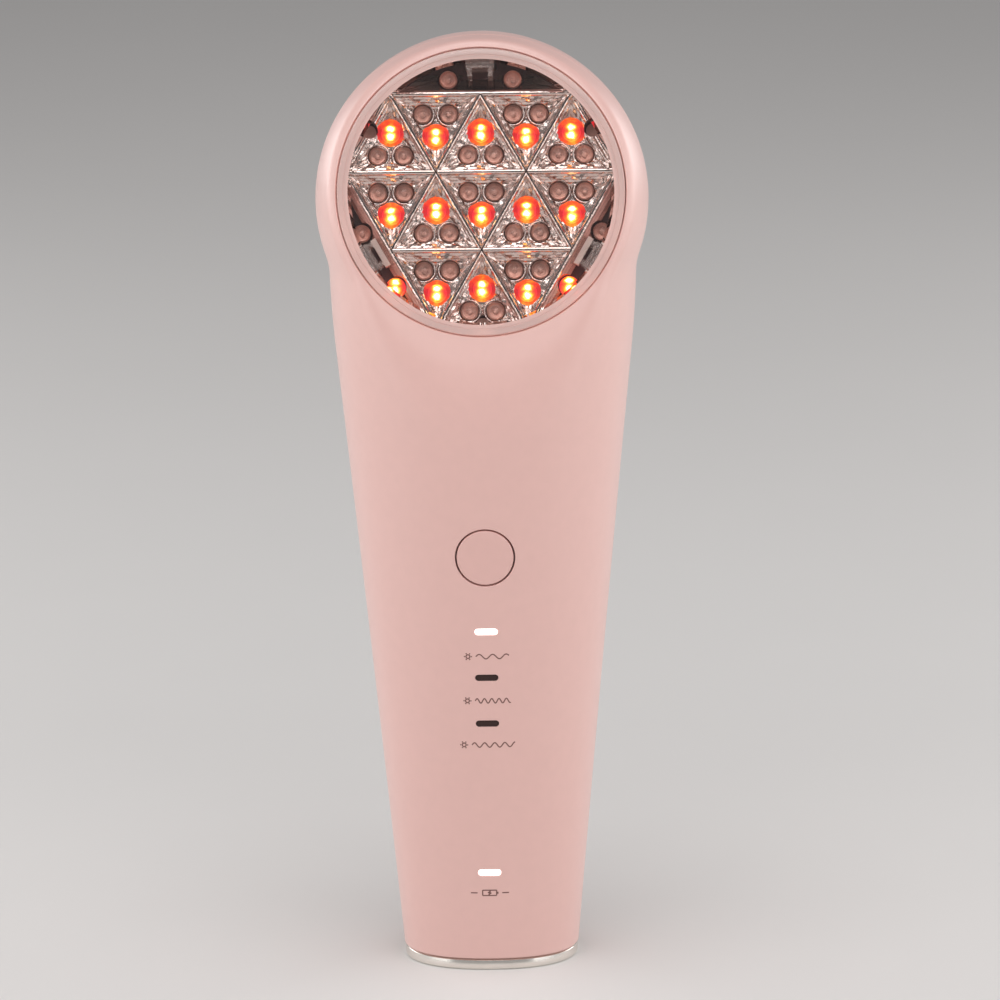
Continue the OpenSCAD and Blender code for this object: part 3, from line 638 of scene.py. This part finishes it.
def shade_by_shape(mesh, skin=0.004, same_way=0.9):
    """Normals of the true surface on the housing's skin, and creased ones on its cut edges and grooves."""
    soften(mesh, 25)
    count = len(mesh.vertices)
    points = np.empty(count * 3)
    mesh.vertices.foreach_get("co", points)
    points = points.reshape(-1, 3) / MM
    on_skin = np.abs(body_dist(points)) < skin
    true = outward(points)
    corner_points = np.empty(len(mesh.loops), int)
    mesh.loops.foreach_get("vertex_index", corner_points)
    starts = np.empty(len(mesh.polygons), int)
    sizes = np.empty(len(mesh.polygons), int)
    face_normals = np.empty(len(mesh.polygons) * 3)
    mesh.polygons.foreach_get("loop_start", starts)
    mesh.polygons.foreach_get("loop_total", sizes)
    mesh.polygons.foreach_get("normal", face_normals)
    face_of = np.repeat(np.arange(len(sizes)), sizes)
    whole = np.minimum.reduceat(on_skin[corner_points].astype(int), starts) == 1
    agree = (true[corner_points] * face_normals.reshape(-1, 3)[face_of]).sum(1) > same_way
    normals = np.empty(len(mesh.loops) * 3)
    mesh.corner_normals.foreach_get("vector", normals)
    normals = normals.reshape(-1, 3)
    use = whole[face_of] & agree
    normals[use] = true[corner_points[use]]
    mesh.normals_split_custom_set(normals.tolist())


def disc(radius):
    """A circle's outline, for any growth."""
    return lambda grow: circle(radius + grow)


def window(wider=0.0):
    """A light window's outline, for any growth."""
    return lambda grow: capsule(WINDOW_W + 2 * (wider + grow), WINDOW_H + 2 * (wider + grow))


def build_front_shell():
    shell = half_shell("front_housing", -90)
    lens_hole = [(LENS_HOLE_R, -9), (LENS_HOLE_R, -0.45), (LENS_R + 0.28, -0.2), (LENS_R + 0.5, 0.1),
                 (LENS_R + 3, 5)]
    cutters = [tool(lathe(at_lens(), lens_hole, 288))]
    cutters.append(tool(well(at_front(BUTTON_Z), disc(BUTTON_R + BUTTON_GAP), -6, 0.16)))
    cutters += [tool(well(at_front(z), window(), -5, 0.06)) for z in LIGHT_ZS]
    shell = combine(shell, cutters, "DIFFERENCE")
    shade_by_shape(shell)
    return piece("front_housing", shell, "housing_pink", ["front_shell"], smooth=False)


def build_rear_shell():
    shell = half_shell("rear_housing", 90)
    cutters = [tool(well(at_back(x, z), disc(PLUG_R + 0.1), -5, 0.12)) for x, z in PLUG_SITES]
    cutters.append(tool(well(at_back(0, JACK_Z), disc(JACK_HOLE_R), -5, 0.25)))
    shell = combine(shell, cutters, "DIFFERENCE")
    shade_by_shape(shell)
    piece("rear_housing", shell, "housing_pink", ["rear_shell"], smooth=False)
    plugs = join([plug(at_back(x, z), disc(PLUG_R), -2.2, -0.06, 0.15) for x, z in PLUG_SITES])
    solid("screw_covers", plugs, "housing_pink", ["screw_plugs"])


def superellipse(grow, segments=144):
    """Outline of the handle at its foot, moved outwards by grow."""
    turn = np.arange(segments) * 2 * pi / segments
    c, s = np.cos(turn), np.sin(turn)
    power = 2 / SQUARENESS
    return np.column_stack([
        (FOOT_HALF_W + grow) * np.sign(c) * np.abs(c) ** power,
        (FOOT_HALF_D + grow) * np.sign(s) * np.abs(s) ** power,
    ])


def build_foot():
    """The chrome ring, in points of growth from the handle's outline and height, and the treaded pad."""
    outer = [(0.03 - 0.45 + 0.45 * sin(t), 0.45 - 0.45 * cos(t)) for t in np.linspace(0, pi / 2, 6)]
    upper = [(0.03, 0.8), (-0.03, 1.25), (-0.1, 1.68), (-0.16, 1.76), (-0.45, 1.95), (-0.6, 2.0)]
    inside = [(-2.15, 2.0), (-2.15, 0.15), (-2.0, 0.0)]
    rings = [ring(superellipse(g), z) for g, z in outer + upper + inside]
    solid("foot_ring", stack(rings, closed=True), "chrome", ["base_ring"], angle=25)

    tread = [(-2.55, 0.9), (-2.55, 0.2), (-2.75, 0.0), (-4.0, 0.0), (-4.15, 0.14), (-4.45, 0.14),
             (-4.6, 0.0), (-9.0, 0.0), (-9.15, 0.14), (-9.45, 0.14), (-9.6, 0.0), (-13.8, 0.0)]
    rings = [ring(superellipse(g), z) for g, z in tread]
    solid("foot_pad", stack(rings), "foot_rubber", ["base_pad"], angle=25)


def build_button():
    """The cap, with a skirt that holds it behind the shell and a post that reaches for the switch."""
    where = at_front(BUTTON_Z)
    cap = plug(where, disc(BUTTON_R), -2.95, 0.0, 0.22)
    skirt = lathe(where, [(6.0, -3.6), (6.2, -3.5), (6.2, -3.05), (6.05, -2.9), (BUTTON_R - 0.5, -2.9),
                          (BUTTON_R - 0.6, -3.6)], 96, closed=True)
    post = lathe(where, [(1.65, -4.6), (1.8, -4.45), (1.8, -2.8)], 48)
    mesh = combine(mesh_from("button_cap", *cap), [tool(skirt), tool(post)], "UNION")
    piece("button_cap", mesh, "button_pink", ["power_button"], body="button")


def build_windows():
    """Each light pipe's face in the housing, and the flange behind it."""
    looks = ("window_lit", "window_dark", "window_dark", "window_lit")
    for z, look, name in zip(LIGHT_ZS, looks, ("1", "2", "3", "charge"), strict=True):
        where = at_front(z)
        face = plug(where, window(-0.07), -3.0, -0.05, 0.08)
        flange = extrude(where, capsule(WINDOW_W + 1.4, WINDOW_H + 1.4), -3.4, -2.6)
        mesh = combine(mesh_from("window_" + name, *face), [tool(flange)], "UNION")
        piece("window_" + name, mesh, look, ["light_pipe_" + name])


def stroke(where, path, width=0.22, lift=0.012, sink=0.05):
    """A thin printed line on the housing along flat points."""
    path = np.asarray(path, float)
    along = np.gradient(path, axis=0)
    along /= np.linalg.norm(along, axis=1, keepdims=True)
    side = np.column_stack([-along[:, 1], along[:, 0]]) * width / 2
    left, right = path + side, path - side
    rings = []
    for i in range(len(path)):
        flat = np.array([left[i], right[i]])
        height = over_surface(where, flat)
        rings.append(np.array([[*flat[0], height[0] + lift], [*flat[1], height[1] + lift],
                               [*flat[1], height[1] - sink], [*flat[0], height[0] - sink]]))
    points, faces = stack(rings)
    return put(where, points), faces


def segment(a, b, steps=6):
    return np.linspace(a, b, steps)


def arc(centre, radius, start=0.0, end=360.0, steps=28):
    turn = np.radians(np.linspace(start, end, steps))
    return np.column_stack([centre[0] + radius * np.cos(turn), centre[1] + radius * np.sin(turn)])


def lamp_mark(x):
    """A small lamp: a ring with six rays."""
    lines = [arc((x, 0), 0.34)]
    for angle in range(0, 360, 60):
        c, s = cos(radians(angle)), sin(radians(angle))
        lines.append(segment((x + 0.5 * c, 0.5 * s), (x + 0.72 * c, 0.72 * s), 3))
    return lines


def wave_mark(start, end, pitch):
    """A light wave of a given wavelength."""
    x = np.arange(start, end, 0.06)
    return [np.column_stack([x, 0.42 * np.sin((x - start) * 2 * pi / pitch)])]


def battery_mark():
    """A battery outline with a bolt, between two short lines."""
    box = [segment((-1.3, -0.5), (1.2, -0.5)), segment((1.2, -0.5), (1.2, 0.5)),
           segment((1.2, 0.5), (-1.3, 0.5)), segment((-1.3, 0.5), (-1.3, -0.5)),
           segment((1.42, -0.2), (1.42, 0.2), 3)]
    bolt = [segment((0.15, 0.38), (-0.35, 0.0), 3), segment((-0.35, 0.0), (0.25, 0.02), 3),
            segment((0.25, 0.02), (-0.25, -0.38), 3)]
    sides = [segment((-3.4, 0), (-2.2, 0)), segment((2.2, 0), (3.4, 0))]
    return box + bolt + sides


def build_marks():
    half_widths, pitches = (4.0, 4.2, 4.9), (2.4, 1.3, 1.8)
    marks = []
    for half, pitch in zip(half_widths, pitches, strict=True):
        marks.append(lamp_mark(-half + 0.7) + wave_mark(-half + 2.1, half, pitch))
    marks.append(battery_mark())
    parts = []
    for z, drop, lines in zip(LIGHT_ZS, MARK_DROPS, marks, strict=True):
        where = at_front(z - drop)
        parts += [stroke(where, line) for line in lines]
    solid("printed_marks", join(parts), "mark_print")


# ---- head ----


def wedge(where, angle, r_low, r_high, width, low, high, lean=0.0):
    """A block at an angle round the lens's axis, with its bottom shifted inwards by lean."""
    c, s = cos(radians(angle)), sin(radians(angle))
    corners = [(r_low, -width / 2), (r_high, -width / 2), (r_high, width / 2), (r_low, width / 2)]
    flat = np.array([(r * c - t * s, r * s + t * c) for r, t in corners])
    narrow = np.array([((r - lean) * c - t * s, (r - lean) * s + t * c) for r, t in corners])
    points, faces = stack([ring(narrow, low), ring(flat, high)])
    return put(where, points), faces


def build_lens():
    """The clear disc, its milky rim with two fine steps, and the snap clips.

    Profiles are radius and height from the lens's outer face.
    """
    disc_profile = [(0.0, -LENS_THICK), (LENS_RIM_R - 0.5, -LENS_THICK), (LENS_RIM_R, -LENS_THICK + 0.3),
                    (LENS_RIM_R, -0.02), (0.0, 0.0)]
    solid("lens", lathe(at_lens(), disc_profile, 192), "lens_clear", ["lens_cover"], angle=20)
    edge = 0.3
    top = [(LENS_R + 0.1 - edge + edge * sin(t), -edge + edge * cos(t)) for t in np.linspace(pi / 2, 0, 6)]
    steps = [(LENS_R - 0.95, 0.0), (LENS_R - 1.0, -0.07), (LENS_R - 1.12, -0.07), (LENS_R - 1.17, 0.0),
             (LENS_RIM_R + 0.06, 0.0), (LENS_RIM_R + 0.01, -0.05)]
    inner = [(LENS_RIM_R + 0.01, -LENS_THICK), (SKIRT_R, -LENS_THICK - 0.5), (SKIRT_R, -SKIRT_DEPTH + 0.15)]
    bottom = [(SKIRT_R + 0.15, -SKIRT_DEPTH), (LENS_R - 0.15, -SKIRT_DEPTH), (LENS_R, -SKIRT_DEPTH + 0.15)]
    rim = lathe(at_lens(), inner + bottom + top + steps, 192, closed=True)
    solid("lens_rim", rim, "lens_rim", angle=20)
    clips = []
    for angle, rib in zip(CLIP_ANGLES, CLIP_RIBS, strict=True):
        clips.append(wedge(at_lens(), angle, CLIP_R, SKIRT_R + 0.06, CLIP_W, -CLIP_DEPTH, -LENS_THICK))
        clips.append(wedge(at_lens(), angle, CLIP_R - 0.6, CLIP_R + 0.1, CLIP_W, -7.0, -LENS_THICK, 0.3))
        clips.append(wedge(at_lens(), angle, SKIRT_R, SKIRT_R + 0.9, CLIP_W, -CLIP_DEPTH, -CLIP_DEPTH + 1.1,
                           0.6))
        for side in (-1, 1):
            clips.append(wedge(at_lens(), angle + side * RIB_TURN, CLIP_R - rib, CLIP_R + 0.3, 0.8, -8.2,
                               -LENS_THICK, 0.3))
    clips = combine(mesh_from("lens_clips", *clips[0]), [tool(c) for c in clips[1:]], "UNION")
    piece("lens_clips", clips, "lens_frosted", angle=20)


def cells():
    """Each light cell as its centre and whether its apex is up."""
    found = []
    for row in range(3):
        reach = 1 if row == 2 else 2
        for i in range(-reach, reach + 1):
            up = abs(i) % 2 if row == 1 else 1 - abs(i) % 2
            top = ROW_TOP - row * CELL_H
            found.append((i * CELL / 2, top - CELL_H * (2 if up else 1) / 3, 1 if up else -1))
    return found


def bulb(cell, which):
    """Where one of a cell's bulbs is: 0 in its apex, -1 on the left and 1 on the right."""
    x, y, up = cell
    if which == 0:
        return x, y + up * LED_THROW
    return x + which * LED_THROW * cos(radians(30)), y - up * LED_THROW / 2


def mirrored(x, y):
    return -x, y


EDGE_LEDS = [LOW_LED, mirrored(*LOW_LED), mirrored(*TOP_LED), mirrored(*SIDE_LED), TOP_LED, SIDE_LED]
RED = [bulb(c, 0) for c in cells()] + EDGE_LEDS[:2]
BLUE = [bulb(c, -1) for c in cells()] + EDGE_LEDS[2:4]
GREEN = [bulb(c, 1) for c in cells()] + EDGE_LEDS[4:]


def triangle(inset, parts=18):
    """A cell's outline, apex up, moved inwards."""
    reach = CELL / 3**0.5 - 2 * inset
    corners = [np.array([cos(radians(a)), sin(radians(a))]) * reach for a in (90, 210, 330)]
    sides = [np.linspace(corners[i], corners[(i + 1) % 3], parts, endpoint=False) for i in range(3)]
    return np.concatenate(sides)


# The terraced wall of a cell from the floor up: inset, height and unevenness of each step
CELL_WALL = [
    (2.95, -7.85, 0.0), (2.4, -7.6, 0.1), (2.28, -7.0, 0.12), (1.88, -6.78, 0.13), (1.76, -6.05, 0.13),
    (1.38, -5.82, 0.13), (1.28, -5.1, 0.12), (0.94, -4.85, 0.12), (0.84, -4.2, 0.1), (0.54, -4.0, 0.08),
    (0.44, -3.4, 0.02), (0.3, -3.11, 0.0), (0.09, -3.0, 0.0), (-0.02, -3.4, 0.0), (-0.02, -2.0, 0.0),
]
# Radius and height up the hole round each bulb, and up the bowl above it, which is wider at the lit one
BULB_HOLE = [(1.66, -11.5), (1.66, -8.6), (1.74, -8.5)]
LIT_BOWL = [(2.3, -7.95), (2.5, -7.5), (2.45, -6.4), (2.3, -4.4)]
PLAIN_BOWL = [(1.82, -8.56), (2.2, -8.15), (2.35, -7.8), (2.05, -7.2), (1.9, -6.0), (1.82, -4.4)]


def turned_at(spot, profile, segments=48):
    """A turned solid in the lens's own frame."""
    points, faces = lathe(FLAT, profile, segments)
    return points + spot, faces


def cell_tool():
    """What is hollowed out of the reflector for one cell: faceted walls, a bowl and a lip round each bulb."""
    uneven = np.random.default_rng(7)
    rings = []
    for inset, w, spread in CELL_WALL:
        flat = triangle(inset)
        away = flat / np.hypot(flat[:, :1], flat[:, 1:])
        flat = flat + away * uneven.uniform(-spread, spread, (len(flat), 1))
        rings.append(ring(flat, w + uneven.uniform(-spread, spread, len(flat)) * 1.4))
    cup = mesh_from("cup", *stack(rings))
    bowls = []
    for angle in (90, 210, 330):
        profile = BULB_HOLE + (LIT_BOWL if angle == 90 else PLAIN_BOWL)
        spot = [LED_THROW * cos(radians(angle)), LED_THROW * sin(radians(angle)), 0]
        bowls.append(tool(turned_at(spot, profile, 36)))
    room = tool(extrude(FLAT, triangle(0.6), -12.0, -4.4))
    bowls = combine(combine(bowls[0], bowls[1:], "UNION"), [room], "INTERSECT")
    return combine(cup, [bowls], "UNION")


def reflector_outline(grow):
    """The cells' outline within the lens's circle, moved outwards by grow."""
    a, low = CELL, ROW_LOW
    corners = np.array([(-a, ROW_TOP), (a, ROW_TOP), (1.5 * a, low + 2 * CELL_H), (a / 2, low),
                        (-a / 2, low), (-1.5 * a, low + 2 * CELL_H)])
    middle = corners.mean(0)
    found = []
    for angle in np.arange(0, 360, 1.5):
        ray = np.array([cos(radians(angle)), sin(radians(angle))])
        reach = REFLECTOR_R + min(grow, 0.3)
        for i in range(6):
            p, q = corners[i], corners[(i + 1) % 6]
            side = q - p
            normal = np.array([side[1], -side[0]]) / np.hypot(*side)
            if normal @ (middle - p) > 0:
                normal = -normal
            facing = normal @ ray
            if facing > 1e-6:
                reach = min(reach, (normal @ p + grow) / facing)
        found.append(ray * reach)
    return np.array(found)


# Growth outside the cells' outline and height, up the reflector's stepped flank, and radius and height
# up its screw bosses
FLANK = [(1.8, REFLECTOR_BACK), (1.8, -8.7), (1.32, -8.4), (1.24, -6.6), (0.86, -6.38), (0.78, -5.1),
         (0.5, -4.92), (0.42, -3.7), (0.32, -3.11), (0.1, RIDGE)]
BOSS = [(2.05, REFLECTOR_BACK), (2.05, -4.3), (1.5, -4.0)]


def set_in_head(mesh):
    """Moves a mesh from the lens's own frame into the head."""
    turn, origin = at_lens()
    mesh.transform(Matrix.Translation(Vector(origin) * MM) @ Matrix(turn.tolist()).to_4x4())


def within_skirt():
    return tool(extrude(FLAT, circle(REFLECTOR_R, 192), -12, 0))


def top_clip_notch():
    return tool(wedge(FLAT, CLIP_ANGLES[0], 20.6, 25, 6.2, -12, 0))


def bore(x, y, radius):
    """A round hole through the reflector."""
    return tool(turned_at([x, y, 0], [(radius, -11), (radius, 0)]))


def build_reflector():
    mesh = mesh_from("reflector_cells", *stack([ring(reflector_outline(grow), w) for grow, w in FLANK]))
    up = cell_tool()
    cuts = []
    for x, y, sign in cells():
        cut = up.copy()
        half_turn = Matrix.Rotation(0 if sign > 0 else pi, 4, "Z")
        cut.transform(Matrix.Translation(Vector((x, y, 0)) * MM) @ half_turn)
        cuts.append(cut)
    cuts += [bore(x, y, EDGE_LED_HOLE_R) for x, y in EDGE_LEDS]
    bosses = []
    for angle in LED_SCREW_ANGLES:
        x, y = LED_SCREW_RING * cos(radians(angle)), LED_SCREW_RING * sin(radians(angle))
        cuts.append(bore(x, y, LED_SCREW_HOLE_R))
        bosses.append(combine(tool(turned_at([x, y, 0], BOSS)), [within_skirt()], "INTERSECT"))
    cuts.append(top_clip_notch())
    mesh = combine(mesh, bosses, "UNION")
    mesh = combine(mesh, cuts, "DIFFERENCE")
    set_in_head(mesh)
    piece("reflector_cells", mesh, "reflector_chrome", ["reflector"], angle=9)
    build_tabs()
    build_apron()


def build_tabs(x=18.0, y=-10.1, half_length=2.7, half_width=0.5, high=-7.2, low=-7.5):
    """The two bright bars that run along the slanting ends of the lowest row of cells."""
    tabs = []
    for side in (-1, 1):
        middle = np.array([side * x, y])
        along = np.array([-side * 0.5, -0.866]) * half_length
        out = np.array([side * 0.866, -0.5]) * half_width
        outline = np.array([middle + a * along + b * out for a, b in ((-1, -1), (1, -1), (1, 1), (-1, 1))])
        heights = np.array([high, high, low, low])
        points, faces = stack([ring(outline[::side], REFLECTOR_BACK), ring(outline[::side], heights[::side])])
        tabs.append((put(at_lens(), points), faces))
    solid("reflector_tabs", join(tabs), "reflector_satin", angle=20)


def build_apron():
    """The slope above the top row of cells, in the reflector's chrome painted darker: painted shade for the
    dark it reflects.
    """
    low, half = ROW_TOP + 0.15, 20
    slope = [(-half, low, -3.4), (half, low, -3.4), (half, low + 1.1, -7.2), (half, APRON_TOP, -8.8),
             (-half, APRON_TOP, -8.8), (-half, low + 1.1, -7.2)]
    bottom = [(x, y, REFLECTOR_BACK) for x, y, _ in slope]
    apron = mesh_from("reflector_apron", *stack([np.array(bottom), np.array(slope)]))
    apron = combine(apron, [within_skirt()], "INTERSECT")
    cuts = [top_clip_notch()] + [bore(x, y, EDGE_LED_HOLE_R) for x, y in (mirrored(*TOP_LED), TOP_LED)]
    apron = combine(apron, cuts, "DIFFERENCE")
    set_in_head(apron)
    piece("reflector_apron", apron, "reflector_dark", angle=20)


def bulb_solid(x, y, segments=40):
    """A round-topped LED, with each point's place on the bulb kept for its glow."""
    body = LED_H - LED_R
    profile = [(LED_FLANGE_R, 0), (LED_FLANGE_R, 0.9), (LED_FLANGE_R - 0.1, 1.0), (LED_R, 1.0), (LED_R, body)]
    profile += [(LED_R * cos(t), body + LED_R * sin(t)) for t in np.linspace(0, pi / 2, 10)[1:]]
    points, faces = lathe(FLAT, profile, segments)
    own = points / LED_R
    return put(at_lens(BOARD_FRONT), points + [x, y, 0]), faces, own


def build_bulbs(name, sites, look, node):
    parts, own = [], []
    for x, y in sites:
        points, faces, local = bulb_solid(x, y)
        parts.append((points, faces))
        own.append(local)
    mesh = mesh_from(name, *join(parts))
    if look == "led_lit":
        attribute = mesh.attributes.new("bulb", "FLOAT_VECTOR", "POINT")
        attribute.data.foreach_set("vector", np.concatenate(own).ravel())
    piece(name, mesh, look, [node], angle=40)


def build_bulb_lips(radius=1.97, height=-7.35, thick=0.14):
    """The thin bright rim round the hole of each unlit bulb in a cell."""
    profile = circle(thick, 8) + [radius, height]
    lips = []
    for x, y in BLUE[:-2] + GREEN[:-2]:
        points, faces = lathe(FLAT, profile, 40, closed=True)
        lips.append((put(at_lens(), points + [x, y, 0]), faces))
    solid("reflector_lips", join(lips), "reflector_lip", angle=60)


def build_led_dishes():
    """The stepped reflector dish inside each unlit bulb."""
    profile = [(1.46, 2.6), (1.46, 3.2), (1.24, 3.2), (1.12, 2.95), (0.82, 2.9), (0.74, 3.1), (0.62, 3.1),
               (0.5, 2.75), (0.26, 2.7), (0.22, 2.95), (0.02, 2.98)]
    parts = []
    for x, y in BLUE + GREEN:
        points, faces = turned_at([x, y, 0], profile, 28)
        parts.append((put(at_lens(BOARD_FRONT), points), faces))
    solid("led_dishes", join(parts), "led_die", angle=30)


# ---- charging socket ----


def build_jack():
    """The charging socket, in profiles of radius and height above its mouth."""
    where = place((0, JACK_MOUTH_Y, JACK_Z), (-1, 0, 0), (0, 1, 0))
    profile = [(1.7, -9.7), (1.7, -4.7), (1.95, -4.6), (1.95, -0.25), (2.15, 0.0), (2.7, 0.0), (2.85, -0.15),
               (2.85, -2.0), (3.35, -2.0), (3.5, -2.15), (3.5, -11.2), (0.8, -11.2), (0.8, -9.7)]
    body = lathe(where, profile, 64, closed=True)
    solid("socket_body", body, "black_plastic", ["charge_jack"], angle=30)
    pin = lathe(where, [(0.6, -9.7), (0.6, -5.0), (0.35, -4.8)], 32)
    solid("socket_pin", pin, "contact_brass", ["jack_pin"], angle=30)
    spring = [(1.93, -4.4), (1.93, -0.6), (1.86, -0.5), (1.86, -4.4)]
    solid("socket_sleeve", lathe(where, spring, 64, closed=True), "nickel", angle=30)


build_front_shell()
build_rear_shell()
build_foot()
build_button()
build_windows()
build_marks()
build_lens()
build_reflector()
build_bulbs("bulbs_red", RED, "led_lit", "red_leds")
build_bulbs("bulbs_blue", BLUE, "led_clear", "blue_leds")
build_bulbs("bulbs_green", GREEN, "led_clear", "green_leds")
build_bulb_lips()
build_led_dishes()
build_jack()


# ---- studio: places and sizes in metres, power in watts ----

FLOOR_R = 6.0
MIDDLE = (0, 0, 0.09)


def pale_floor():
    edge = circle(FLOOR_R)
    mesh = bpy.data.meshes.new("floor")
    mesh.from_pydata([(x, y, 0.0) for x, y in edge], [], [list(range(len(edge)))])
    floor = bpy.data.objects.new("floor", mesh)
    bpy.context.scene.collection.objects.link(floor)
    mesh.materials.append(finish("floor_pale", (220, 217, 215), 0.7, spread=0.01, grain=60, bump=0.0))


def softbox(name, position, width, height, power):
    """A rectangular light that looks at the middle of the wand."""
    light = bpy.data.lights.new(name, "AREA")
    light.shape = "RECTANGLE"
    light.size, light.size_y = width, height
    light.energy = power
    obj = bpy.data.objects.new(name, light)
    obj.location = position
    look = Vector(MIDDLE) - Vector(position)
    obj.rotation_euler = look.to_track_quat("-Z", "Y").to_euler()
    bpy.context.scene.collection.objects.link(obj)


def studio():
    for side, name in ((-1, "left"), (1, "right")):
        softbox("softbox_" + name, (side * 0.537, -0.31, 0.23), 0.43, 0.42, 1.0)
        softbox("edge_light_" + name, (side * 0.556, 0.225, 0.21), 0.75, 0.24, 1.75)
    softbox("softbox_front", (0.0, -0.60, 0.62), 0.9, 0.3, 2.6)
    softbox("softbox_top", (0.0, -0.15, 0.85), 0.5, 0.3, 1.4)
    world = bpy.data.worlds.new("studio")
    world.use_nodes = True
    world.node_tree.nodes["Background"].inputs["Color"].default_value = (0.95, 0.95, 0.96, 1.0)
    world.node_tree.nodes["Background"].inputs["Strength"].default_value = 0.25
    bpy.context.scene.world = world


def camera():
    """A long lens at the photograph's angle: almost 14 degrees above level, in front of the wand."""
    lift, yaw, roll, distance = radians(13.7), radians(0.8), radians(-0.75), 2.9
    view_width, sensor = 0.1785, 36.0
    aim = Vector((0.0025, 0.0, 0.0831))
    back = Vector((sin(yaw) * cos(lift), -cos(yaw) * cos(lift), sin(lift)))
    lens = bpy.data.cameras.new("camera")
    lens.sensor_width = sensor
    lens.lens = sensor * distance / view_width
    lens.clip_start, lens.clip_end = 0.05, 20
    obj = bpy.data.objects.new("camera", lens)
    obj.location = aim + back * distance
    turn = (-back).to_track_quat("-Z", "Y").to_matrix().to_4x4() @ Matrix.Rotation(roll, 4, "Z")
    obj.rotation_euler = turn.to_euler()
    bpy.context.scene.collection.objects.link(obj)
    bpy.context.scene.camera = obj


pale_floor()
studio()
camera()
bpy.context.scene.view_settings.view_transform = "Standard"
